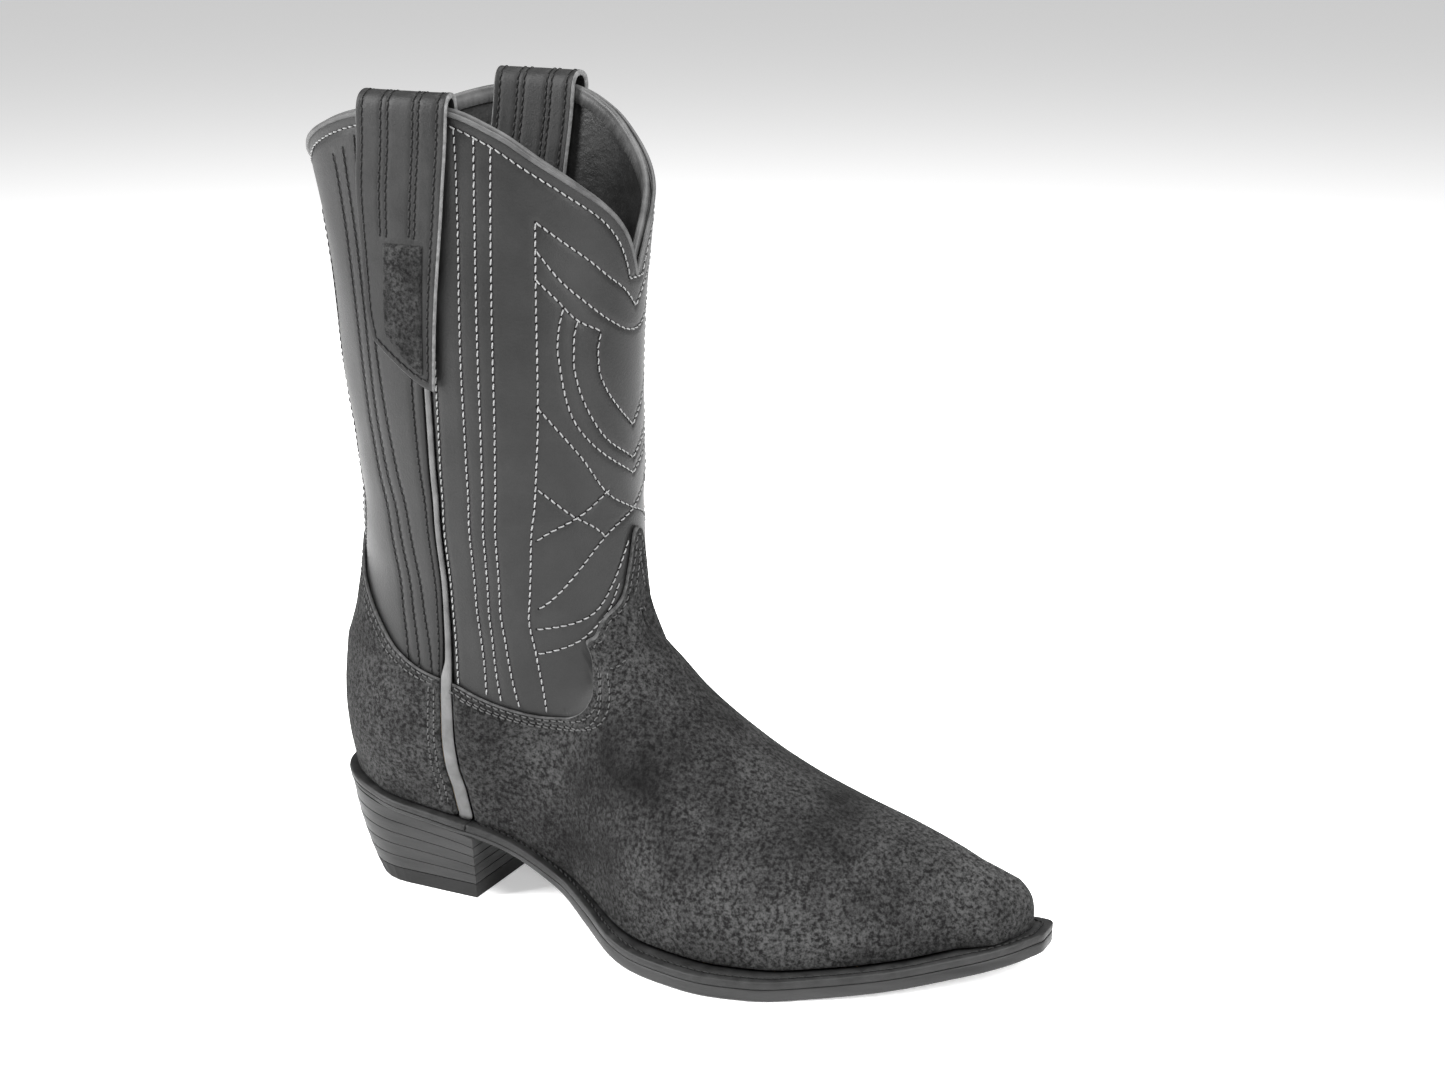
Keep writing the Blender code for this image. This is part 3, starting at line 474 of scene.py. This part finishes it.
def lay_stitches(kind, points, normals, pitch=3.1, width=0.3, lift=0.0):
    """Rounded stitches end to end along a path, with a near-black disc of painted shade in the hole where
    each one dives.
    """
    steps = np.linalg.norm(np.diff(points, axis=0), axis=1)
    along = np.concatenate([[0], np.cumsum(steps)])
    count = max(int(round(along[-1] / pitch)), 1)
    pitch = along[-1] / count

    def at(distance, values):
        return np.stack([np.interp(distance, along, values[:, k]) for k in range(3)], -1)

    vertices, faces = stitch_points.setdefault(kind, []), stitch_faces.setdefault(kind, [])
    dots, dot_faces = hole_shade_points.setdefault(kind, []), hole_shade_faces.setdefault(kind, [])
    turns = np.radians(np.arange(0, 360, 60))
    for n in range(count):
        spots = (n + 0.5 + STITCH_ALONG) * pitch
        centre, normal = at(spots, points), at(spots, normals)
        normal /= np.linalg.norm(normal, axis=1, keepdims=True)
        tangent = at(spots + 0.2, points) - at(spots - 0.2, points)
        tangent /= np.maximum(np.linalg.norm(tangent, axis=1, keepdims=True), 1e-9)
        side = np.cross(tangent, normal)
        aside = SLANT * STITCH_ALONG[:, None] / STITCH_ALONG[-1]
        middle_line = centre + normal * (lift + STITCH_RISE[:, None]) + side * aside
        start = len(vertices)
        for k, thick in enumerate(STITCH_THICK):
            for turn in turns:
                vertices.append(middle_line[k] + width * thick
                                * (np.cos(turn) * side[k] + 0.8 * np.sin(turn) * normal[k]))
        for face in tube_faces(len(STITCH_ALONG), len(turns), True):
            faces.append([start + v for v in face])
        # The needle hole: a flat near-black disc just under the surface, painted shade for the hole's
        # recess.
        spot = at(np.array([n * pitch]), points)[0]
        up = at(np.array([n * pitch]), normals)[0]
        ahead = at(np.array([n * pitch + 0.3]), points)[0] - spot
        if np.linalg.norm(ahead) < 1e-6:
            continue
        ahead /= np.linalg.norm(ahead)
        across = np.cross(ahead, up)
        start = len(dots)
        dots.append(spot - up * 0.2)
        for turn in turns:
            dots.append(spot - up * 0.165
                        + HOLE_SHADE_RADIUS * (np.cos(turn) * across + 1.1 * np.sin(turn) * ahead))
        for k in range(len(turns)):
            dot_faces.append([start, start + 1 + k, start + 1 + (k + 1) % len(turns)])


def finish_stitches(kind, name, thread):
    points = np.array(stitch_points[kind])
    dots = np.array(hole_shade_points[kind])
    faces = stitch_faces[kind] + [[v + len(points) for v in face] for face in hole_shade_faces[kind]]
    choice = [0] * len(stitch_faces[kind]) + [1] * len(hole_shade_faces[kind])
    add_piece(name, np.concatenate([points, dots]), faces, [thread, HOLE_SHADE], None,
              choice)


def tree_of(paths):
    points = np.concatenate([p for p, _ in paths])
    tree = kdtree.KDTree(len(points))
    for n, p in enumerate(points.tolist()):
        tree.insert(p, n)
    tree.balance()
    return tree


# Rows on the front panel; the field lines were read off the boot's outer side and are mirrored.
FRONT_ROWS = (
    [(1.945, 103.5), (1.855, 104), (1.32, 104.5), (0.9, 103.5), (0.725, 102.5), (0.62, 101.5)],
    [(1.925, 110), (1.86, 110), (1.325, 111), (0.9, 108.5), (0.735, 106), (0.61, 105)],
    [(1.905, 115.5), (1.86, 115.5), (1.325, 116.5), (0.9, 113), (0.745, 110.5), (0.6, 109)],
    [(1.735, 131), (1.33, 133), (1.08, 130.5), (0.8, 120.5), (0.645, 116), (0.595, 114.5)],
    [(1.735, 131), (1.69, 141), (1.64, 153), (1.6, 162), (1.565, 171), (1.517, 180)],
    [(1.67, 131.5), (1.6, 141), (1.54, 153), (1.495, 164), (1.466, 175), (1.462, 180)],
    [(1.605, 131.5), (1.555, 140), (1.505, 148.5), (1.475, 159)],
    [(1.535, 142.5), (1.49, 141), (1.445, 140.5), (1.4, 141.5), (1.32, 144), (1.27, 147), (1.21, 154.5),
     (1.165, 164), (1.112, 180)],
    [(1.505, 148.5), (1.46, 147), (1.41, 147), (1.35, 149), (1.28, 154), (1.215, 162), (1.15, 180)],
    [(1.47, 159), (1.43, 157.8), (1.385, 158.3), (1.34, 161.5), (1.285, 169), (1.23, 180)],
    [(1.305, 132.5), (1.185, 149), (1.075, 163.5), (1.025, 180)],
    [(1.105, 131.5), (1.03, 147), (0.985, 160)],
    [(0.985, 130), (1.03, 147), (1.09, 163.5)],
    [(0.9, 128), (0.945, 144), (0.985, 160), (1.025, 180)],
    [(0.86, 125), (0.895, 148), (0.935, 163), (0.975, 174)],
    [(0.8, 121), (0.86, 143), (0.905, 159), (0.935, 167)],
    [(1.5, 94.5), (1.3, 94), (0.94, 93.2), (0.7, 93.4), (0.63, 93.6)],
)
BACK_ROWS = (
    [(1.86, 56), (1.83, 56.5), (1.285, 57), (0.9, 67), (0.65, 75), (0.63, 75.5)],
    [(1.88, 62), (1.835, 62), (1.29, 62.5), (0.9, 72.5), (0.655, 79.5), (0.63, 80)],
    [(1.91, 68), (1.84, 67.5), (1.5, 66.5), (1.29, 68.5), (0.9, 78), (0.67, 84), (0.635, 84.5)],
    [(1.45, 84), (1.305, 83.5), (0.95, 85.5), (0.7, 86.8), (0.63, 87)],
    [(1.715, 31), (1.55, 35), (1.4, 32), (1.22, 22), (1.08, 30), (0.97, 36), (0.885, 30)],
    [(1.715, 31), (1.66, 25), (1.45, 21), (1.3, 27), (1.18, 35), (1.05, 26), (0.9, 21)],
)

front_paths = [path_on(side, 0) for marks in FRONT_ROWS for side in both_sides(marks)]
back_paths = [path_on(side, 0) for marks in BACK_ROWS for side in both_sides(marks)]
front_paths.append(path_on(outline_row(front_top, 92.5, 267.5, 4.0, 120), 0))
back_edge = path_on(outline_row(back_top, -87, 87, 4.0, 120), 0)
vamp_paths = [path_on(outline_row(vamp_top, 93.5, 266.5, d, 240), 1.8) for d in (1.7, 4.4)]
vamp_paths.append(path_on([(float(vamp_top(a)) * 0.93 - 0.02 + 0.02 * min(abs(a - 180) / 40, 1), a)
                           for a in np.linspace(94, 266, 60)], 1.8))     # the outermost row, further in
counter_paths = [path_on(outline_row(counter_top, -86.5, 86.5, d, 120), 1.8) for d in (1.7, 4.4)]
piping_rows = [[(0.05, phi), (0.3, phi), (0.6, phi)] for phi in (84.5, 86.3)]
counter_paths += [path_on([(q, turn * phi) for q, phi in marks], 1.8)
                  for marks in piping_rows for turn in (1, -1)]
# The front rows and the back panel's top row take the light-grey thread: black thread with its sheen
# painted in.
for points, normals in front_paths:
    lay_stitches("light", points, normals)
for points, normals in back_paths:
    lay_stitches("dark", points, normals)
lay_stitches("light", *back_edge)
back_paths.append(back_edge)
for points, normals in vamp_paths + counter_paths:
    lay_stitches("suede", points, normals, pitch=2.9, width=0.3, lift=-0.12)

leather("front_shaft_panel", 92, 268, lambda a: vamp_top(a) - PANEL_TUCK, front_top, -1.5, 0, 240, 190,
        [SHAFT, SHAFT], tree=tree_of(front_paths))
leather("back_shaft_panel", -88, 88, lambda a: counter_top(a) - PANEL_TUCK, back_top, -1.5, 0, 240, 190,
        [SHAFT, SHAFT], tree=tree_of(back_paths))
leather("vamp", 92, 268, lambda a: 0 * a, vamp_top, 0.4, 1.8, 260, 190, [SUEDE, NAP_EDGE],
        margin_rows=MARGIN_ROWS, tree=tree_of(vamp_paths), depth=0.3, reach=1.0)
leather("counter_cover", -88, 88, lambda a: 0 * a, counter_top, 0.4, 1.8, 190, 130,
        [SUEDE, NAP_EDGE], margin_rows=MARGIN_ROWS, tree=tree_of(counter_paths),
        depth=0.3, reach=1.0)
leather("front_lining", 90.4, 269.6, lambda a: vamp_top(a) - PANEL_TUCK, front_top, -3.3, -2.1, 150, 80,
        [LINING, LINING], seam_drop=0)
leather("back_lining", -89.6, 89.6, lambda a: 0 * a, back_top, -3.3, -2.1, 150, 90,
        [LINING, LINING], margin_rows=MARGIN_ROWS, seam_drop=0)
leather("vamp_interlining", 92, 268, lambda a: np.maximum(puff_end(a), MARGIN_ROWS[0]),
        lambda a: vamp_top(a) - 0.06, -1.0, 0, 150, 60, [BOARD, BOARD], seam_drop=0)
leather("toe_puff", 143, 217, lambda a: 0 * a - 0.1, lambda a: np.maximum(puff_end(a) - 0.006, -0.1),
        -1.3, 0, 60, 30, [BOARD, BOARD], seam_drop=0)
leather("heel_stiffener", -88, 88, lambda a: 0 * a, lambda a: counter_top(a) - 0.06, -1.5, 0, 120, 50,
        [BOARD, BOARD], margin_rows=MARGIN_ROWS, seam_drop=0)
leather("vamp_lining", 90.4, 269.6, lambda a: 0 * a, lambda a: vamp_top(a) - 0.056, -3.3, -2.1, 150, 80,
        [LINING, LINING], margin_rows=MARGIN_ROWS, seam_drop=0)


# ---------------------------------------------------------------- top binding and side piping
def arc(height, offset, radius, first, last, count):
    turns = np.radians(np.linspace(first, last, count))
    return [(height + radius * np.sin(t), offset + radius * np.cos(t)) for t in turns]


BINDING_SECTION = ([(-0.9, 0.1), (-0.75, 0.45)] + arc(0.1, 0.0, 0.8, 25, 165, 8)
                   + [(-0.7, -0.95), (-1.0, -1.3), (-0.5, -1.7)] + arc(0.35, -2.95, 1.3, 15, 200, 11)
                   + [(-1.3, -4.2), (-5, -4.45), (-5, -3.8), (-0.6, -3.7), (-1.6, -1.4)])


def top_binding(name, outline, first, last, columns):
    angles = np.linspace(first, last, columns)
    before, after = np.maximum(angles - 0.7, first), np.minimum(angles + 0.7, last)
    along = body_point(outline(after), after) - body_point(outline(before), before)
    along /= np.linalg.norm(along, axis=1, keepdims=True)
    q = outline(angles)
    normal = body_normal(q, angles)
    up = np.cross(normal, along)
    up *= np.sign(up[:, 2:3])
    edge = body_point(q, angles)
    section = np.array(BINDING_SECTION)
    pleats = 0.16 * np.sin(angles * 3.1 + 0.8 * np.sin(angles * 0.9))
    inside = np.clip((-1.0 - section[:, 0]) / 2, 0, 1) * (section[:, 1] < -4)
    points = (edge[:, None] + up[:, None] * section[None, :, :1]
              + normal[:, None] * (section[None, :, 1:] - (pleats[:, None] * inside[None, :])[..., None]))
    add_piece(name, points.reshape(-1, 3), tube_faces(columns, len(section), True), [BINDING],
              name)


top_binding("top_binding_front", front_top, 91.5, 268.5, 420)
top_binding("top_binding_back", back_top, -88.5, 88.5, 260)


def side_piping(name, seam):
    q = np.linspace(0.0, 1.93, 260)
    over = np.clip((0.70 - q) / 0.06, 0, 1)
    high = 0.55 + 1.45 * over * over * (3 - 2 * over)
    turns = np.linspace(-1, 1, 11)
    rings = []
    for side in turns:
        round_off = 0.95 * (1 - np.sqrt(1 - 0.97 * side ** 2))
        rings.append(surface(q, seam + side * (0.9 + 0.65 * over), high - round_off))
    rings += [surface(q, seam + 1.0, -1.4), surface(q, seam - 1.0, -1.4)]
    points = np.stack(rings, 1)
    add_piece(name, points.reshape(-1, 3), tube_faces(len(q), len(rings), True), [PIPING],
              name)


side_piping("side_piping_outer", 90)
side_piping("side_piping_inner", 270)


# ---------------------------------------------------------------- pull straps
strap_back = spline((1.33, 74), (1.43, 70.5), (1.525, 68), (1.765, 69), (1.925, 72), (2.1, 74))
strap_front = spline((1.33, 95), (1.545, 97.5), (1.78, 100.5), (1.95, 102.5), (2.1, 103))


def strap_track(share):
    """q and offset along the strap's middle, from the outer end over the top to the inner end."""
    low = 1.335 + 0.105 * (1 - share) ** 1.6
    marks = [(q, 2.9) for q in np.linspace(low, 1.955, 60)]
    marks += [(1.986, 2.7), (2.004, 1.8), (2.013, -0.1), (2.014, -1.7), (2.013, -3.3), (2.004, -5.2),
              (1.986, -6)]
    marks += [(q, -6.2) for q in np.linspace(1.95, 1.62, 28)]
    marks = np.array(marks)
    t = np.concatenate([[0], np.cumsum(np.hypot(np.diff(marks[:, 0]) * MM_PER_LOOP,
                                                 np.diff(marks[:, 1])))])
    fine = np.linspace(0, 1, 170) * t[-1]
    q, offset = np.interp(fine, t, marks[:, 0]), np.interp(fine, t, marks[:, 1])
    kernel = np.array([1, 2, 3, 2, 1]) / 9
    for values in (q, offset):
        smooth = np.convolve(np.pad(values, 2, mode="edge"), kernel, "valid")
        values[2:-2] = smooth[2:-2]
    return q, offset


def strap_points(share, mirror):
    q, offset = strap_track(share)
    angle = strap_back(q) + share * (strap_front(q) - strap_back(q))
    return surface(q, 360 - angle if mirror else angle, offset)


def pull_strap(name, mirror):
    shares = np.concatenate([[0, 0.006, 0.015, 0.03, 0.05], np.linspace(0.075, 0.925, 44),
                             [0.95, 0.97, 0.985, 0.994, 1]])
    grid = np.stack([strap_points(s, mirror) for s in shares])
    along = np.gradient(grid, axis=1)
    across = np.gradient(grid, axis=0)
    normal = np.cross(across, along)
    normal /= np.linalg.norm(normal, axis=-1, keepdims=True)
    paths = []
    for share in (0.075, 0.3, 0.37, 0.64, 0.7, 0.915):
        k = int(np.argmin(np.abs(shares - share)))
        line, out = grid[k], normal[k]
        if 0.2 < share < 0.8:
            start = int(np.argmax(strap_track(share)[0] > 1.69))
            line, out = line[start:], out[start:]
        else:
            line, out = line[4:], out[4:]
        if np.dot(out[20], grid[k][20] - grid[k][-20]) < 0:
            out = -out
        paths.append((line + out * 1.0, out))
        lay_stitches("strap", line + out * 1.0, out, pitch=3.3, width=0.3)
    end = grid[5:-5, 3]
    out = normal[5:-5, 3] * np.sign(np.sum(normal[20, 20] * (grid[20, 20] - grid[20, -20])))
    lay_stitches("strap", end + out * 1.0, out, pitch=3.3, width=0.36)
    paths.append((end + out * 1.0, out))
    width = np.linalg.norm(np.diff(grid[:, 60], axis=0), axis=1)
    reach = np.concatenate([[0], np.cumsum(width)])
    near_edge = np.minimum(reach, reach[-1] - reach)
    thick = 1.0 * np.sqrt(1 - (1 - np.clip(near_edge / 0.7, 0, 1)) ** 2) * (1 + 0.12 * (near_edge < 2.2))
    thick = np.maximum(thick, 0.3)
    from_end = np.linspace(0, 150, grid.shape[1])
    near_end = np.minimum(from_end, from_end[::-1])
    ends = np.sqrt(1 - (1 - np.clip(near_end / 0.9 + 0.15, 0, 1)) ** 2)
    half = thick[:, None] * ends[None, :]
    tree = tree_of(paths)
    top, bottom = grid + normal * half[..., None], grid - normal * half[..., None]
    facing = np.sign(np.sum(normal[20, 20] * (grid[20, 20] - grid[20, -20])))
    if facing > 0:
        top = pulled_in(top, normal, tree, 0.28, 0.9)
    else:
        bottom = pulled_in(bottom, -normal, tree, 0.28, 0.9)
    points = np.concatenate([top, bottom[::-1]]).transpose(1, 0, 2)
    count, size = points.shape[:2]
    row = np.tile(np.arange(size), count - 1)
    one = len(shares)
    edge = (row < 2) | (np.abs(row - (one - 1)) < 3) | (row >= size - 3)
    choice = np.concatenate([np.where(edge, 1, 0), [1, 1]])
    add_piece(name, points.reshape(-1, 3), tube_faces(count, size, True), [STRAP, CUT_EDGE],
              name, choice)


pull_strap("pull_strap_outer", False)
pull_strap("pull_strap_inner", True)
finish_stitches("light", "stitching_painted_sheen", SHEEN_PAINTED_THREAD)
finish_stitches("dark", "stitching_back", DARK_THREAD)
finish_stitches("suede", "stitching_covers", NAP_THREAD)
finish_stitches("strap", "stitching_straps", DARK_THREAD)

inlay_back = spline((1.36, 78), (1.485, 76.5), (1.68, 79))
inlay_front = spline((1.36, 91.3), (1.68, 93.5))


def strap_inlay(name, mirror):
    rings = []
    for share in np.linspace(0, 1, 30):
        low = 1.372 + 0.09 * (1 - share) ** 1.5
        heights = np.linspace(low, 1.675, 70)
        near = np.minimum(np.minimum(heights - low, 1.675 - heights) * MM_PER_LOOP,
                          min(share, 1 - share) * 11)
        top = 4.2 + 0.55 * np.sqrt(1 - (1 - np.clip(near / 0.8, 0, 1)) ** 2)
        angle = inlay_back(heights) + share * (inlay_front(heights) - inlay_back(heights))
        angle = 360 - angle if mirror else angle
        rings.append(np.concatenate([surface(heights, angle, top),
                                     surface(heights, angle, 4.05)[::-1]]))
    points = np.array(rings)
    add_piece(name, points.reshape(-1, 3), tube_faces(len(rings), points.shape[1], True), [SUEDE],
              name)


strap_inlay("strap_inlay_outer", False)
strap_inlay("strap_inlay_inner", True)


# ---------------------------------------------------------------- sole, welt and heel
STATIONS = (0, 0.6, 3, 6, 10, 16, 24, 34, 48, 62, 75, 90, 105, 120, 135, 150, 165, 180, 195, 210, 225,
            240, 255, 268, 280, 290, 297.5, 300)


def edge_stations(first, last, spacing=1.5):
    """x along the sole's edge, closer together near the first end."""
    xs = np.array([x for x in STATIONS if first <= x <= last], float)
    return np.unique(np.concatenate([np.linspace(first, last, int((last - first) / spacing)),
                                     first + (last - first) * (1 - np.cos(np.linspace(0, 0.6, 12))),
                                     xs]))


def smooth_path(path, passes):
    """Softens the corners of a path and keeps its ends."""
    for _ in range(passes):
        path[1:-1] = 0.25 * path[:-2] + 0.5 * path[1:-1] + 0.25 * path[2:]
    return path


def resample(path, spacing):
    steps = np.concatenate([[0], np.cumsum(np.linalg.norm(np.diff(path, axis=0), axis=1))])
    fine = np.linspace(0, steps[-1], int(steps[-1] / spacing))
    return np.stack([np.interp(fine, steps, path[:, k]) for k in range(path.shape[1])], 1)


def edge_path(first, to_toe):
    """x, y along the outer side, round the toe or the heel, and back along the inner side."""
    xs = edge_stations(first, 300) if to_toe else edge_stations(0.6, first)[::-1]
    outer = [(x, -float(outer_edge(x))) for x in xs]
    inner = [(x, float(inner_edge(x))) for x in xs[::-1]]
    return smooth_path(resample(np.array(outer + inner), 1.2), 3)


def inward_from(path):
    """Unit directions from the sole's edge to its middle, and the distances."""
    centre_x = np.clip(path[:, 0], 30, 262)
    inward = np.stack([centre_x, (inner_edge(centre_x) - outer_edge(centre_x)) / 2], 1) - path
    reach = np.linalg.norm(inward, axis=1, keepdims=True)
    return inward / reach, reach


def band(name, first, to_toe, section, stitch_row=None):
    """A strip round the sole's edge; the section is (distance in, height above the welt's top)."""
    path = edge_path(first, to_toe)
    inward, _ = inward_from(path)
    rings = []
    for away, height in section:
        spot = path + inward * away
        rings.append(np.column_stack([spot, welt_top(spot[:, 0]) + height]))
    points = np.stack(rings, 1)
    add_piece(name, points.reshape(-1, 3), tube_faces(len(path), len(section), True), [WELT],
              name)
    if stitch_row:
        spot = path[3:-3] + inward[3:-3] * stitch_row
        line = np.column_stack([spot, welt_top(spot[:, 0]) + 0.05])
        upward = np.tile([0.0, 0, 1], (len(line), 1))
        lay_stitches("welt", line, upward, pitch=3.0, width=0.42)


band("welt", 70, True, [(0.25, -2.95), (0, -2.6), (0, -0.5), (0.2, -0.12), (0.6, 0), (3.3, -0.05),
                        (3.9, -0.35), (4.5, -0.05), (12, 0), (12, -2.95)], 4.0)
band("heel_seat_rand", 69.5, False, [(0.3, -2.95), (-0.3, -2.4), (-0.5, -1.2), (-0.2, -0.3), (0.5, 0),
                                     (3, -0.1), (12, 0), (12, -2.95)])
finish_stitches("welt", "stitching_welt", DARK_THREAD)


def outsole():
    """The outsole, with its edge softly rounded and its outline fine enough to read as a curve."""
    path = np.concatenate([edge_path(70, True), edge_path(69.5, False)[::-1][1:-1]])
    path = smooth_path(path, 1)
    inward, reach = inward_from(path)
    rings = []
    for away, on_top, rise in ((999, False, 0), (14, False, 0), (0.9, False, 0), (0.25, False, 0.25),
                               (0, False, 0.9), (0, True, -0.5), (0.3, True, -0.1), (1, True, 0),
                               (14, True, 0), (999, True, 0)):
        spot = path + inward * np.minimum(away, reach)
        level = welt_top(spot[:, 0]) - 3.15 if on_top else sole_bottom(spot[:, 0])
        rings.append(np.column_stack([spot, level + rise]))
    points = np.stack(rings)
    add_piece("outsole", points.reshape(-1, 3), tube_faces(len(rings), len(path)), [SOLE_EDGE],
              "outsole")


outsole()

HEEL_BREAST, HEEL_CAP_HEIGHT, LIFT_COUNT = 73.0, 6.0, 5
heel_back_x = spline((0, 15.5), (0.35, 9), (0.7, 4), (1, 1.2))
heel_half_width = spline((0, 27), (1, 29.6))
heel_roundness = spline((0, 24), (1, 36))


def heel_ring(rise, height, inset=0.0):
    """The heel's outline, the fraction rise of the way up, drawn in by the inset."""
    back, half, corner = (float(at(rise)) for at in (heel_back_x, heel_half_width, heel_roundness))
    turns = np.radians(np.linspace(90, -90, 73))
    x = back + corner * (1 - np.cos(turns))
    y = half * np.sin(turns)
    x = np.concatenate([np.linspace(HEEL_BREAST, back + corner, 12)[:-1], x,
                        np.linspace(back + corner, HEEL_BREAST, 12)[1:]])
    y = np.concatenate([np.full(11, half), y, np.full(11, -half)])
    middle_x = back + corner
    pull = 1 - inset / half
    x, y = middle_x + (x - middle_x) * pull, y * pull
    return np.column_stack([x, y, height(x)])


def heel_block(name, low_rise, high_rise, low, high):
    """One layer of the heel with its edges eased, so that the joints read as fine lines."""
    ease = 0.3
    rings = [heel_ring(low_rise, low, ease),
             heel_ring(low_rise, lambda x: low(x) + 0.18, 0.04),
             heel_ring(low_rise + 0.1 * (high_rise - low_rise),
                       lambda x: low(x) + 0.1 * (high(x) - low(x)) + 0.2),
             heel_ring((low_rise + high_rise) / 2, lambda x: (low(x) + high(x)) / 2),
             heel_ring(high_rise - 0.1 * (high_rise - low_rise),
                       lambda x: high(x) - 0.1 * (high(x) - low(x)) - 0.2),
             heel_ring(high_rise, lambda x: high(x) - 0.18, 0.04),
             heel_ring(high_rise, high, ease)]
    points = np.array(rings)
    made = add_piece(name, points.reshape(-1, 3), tube_faces(len(rings), points.shape[1], True),
                     [SOLE_EDGE], name)
    made.data.set_sharp_from_angle(angle=np.radians(40))


def lift_height(step, gap):
    return lambda x: HEEL_CAP_HEIGHT + step / LIFT_COUNT * (sole_bottom(x) - HEEL_CAP_HEIGHT) + gap


for n in range(LIFT_COUNT):
    start = HEEL_CAP_HEIGHT / 32
    rises = [start + (1 - start) * (n + up) / LIFT_COUNT for up in (0, 1)]
    heel_block(f"heel_lift_{n + 1}", *rises, lift_height(n, 0.03), lift_height(n + 1, -0.03))

# ---------------------------------------------------------------- pieces kept from the frame
# The heel cap keeps its CAD shape, whose nail holes match the nails.
KEPT = {"heel_cap": RUBBER, "cork_filler": CORK, "insole": TAN, "sock_liner": LINING,
        "shank_board": BOARD, "steel_shank": STEEL}
for name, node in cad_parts.items():
    look = BRASS if name.startswith("heel_nail") else KEPT.get(name)
    if look is not None:
        node.data.materials.clear()
        node.data.materials.append(look)

# ---------------------------------------------------------------- floor, lights and camera
floor_mesh = bpy.data.meshes.new("floor")
floor_mesh.from_pydata([(-30, -30, 0), (30, -30, 0), (30, 30, 0), (-30, 30, 0)], [], [(0, 1, 2, 3)])
floor_look = bpy.data.materials.new("floor")
floor_look.use_nodes = True
floor_inputs = floor_look.node_tree.nodes["Principled BSDF"].inputs
floor_inputs["Base Color"].default_value = (0.92, 0.92, 0.92, 1)
floor_inputs["Roughness"].default_value = 0.9
floor_inputs["Emission Color"].default_value = (1, 1, 1, 1)
floor_inputs["Emission Strength"].default_value = 0.3
floor_mesh.materials.append(floor_look)
floor = bpy.data.objects.new("floor", floor_mesh)
floor.location.z = -0.0003
bpy.context.scene.collection.objects.link(floor)

world = bpy.data.worlds.new("studio")
world.use_nodes = True
world.node_tree.nodes["Background"].inputs["Color"].default_value = (1, 1, 1, 1)
world.node_tree.nodes["Background"].inputs["Strength"].default_value = 0.3
bpy.context.scene.world = world
bpy.context.scene.view_settings.view_transform = "Standard"

BOOT = Vector((0.0, 0.0, 0.15))


def softbox(name, place, size, power):
    lamp = bpy.data.lights.new(name, "AREA")
    lamp.shape = "RECTANGLE"
    lamp.size, lamp.size_y = size
    lamp.energy = power
    made = bpy.data.objects.new(name, lamp)
    made.location = place
    made.rotation_mode = "QUATERNION"
    made.rotation_quaternion = (BOOT - Vector(place)).to_track_quat("-Z", "Y")
    bpy.context.scene.collection.objects.link(made)


softbox("left softbox", (-0.95, -0.75, 0.75), (0.5, 1.1), 48)
softbox("front softbox", (1.15, -0.45, 0.85), (0.45, 1.1), 44)
softbox("overhead softbox", (0.1, 0.2, 1.5), (1.2, 1.2), 36)
softbox("near softbox", (0.15, -1.6, 0.9), (0.35, 0.9), 12)

camera_data = bpy.data.cameras.new("camera")
camera_data.sensor_fit = "HORIZONTAL"
camera_data.sensor_width = 36.0
camera_data.lens = 59.53
camera = bpy.data.objects.new("camera", camera_data)
azimuth, elevation, distance = np.radians(26.443), np.radians(16.724), 0.8824
back = Vector((np.sin(azimuth) * np.cos(elevation), -np.cos(azimuth) * np.cos(elevation),
               np.sin(elevation)))
camera.location = Vector((0.028194, -0.010954, 0.1607)) + back * distance
camera.rotation_mode = "QUATERNION"
camera.rotation_quaternion = (-back).to_track_quat("-Z", "Y")
bpy.context.scene.collection.objects.link(camera)
bpy.context.scene.camera = camera
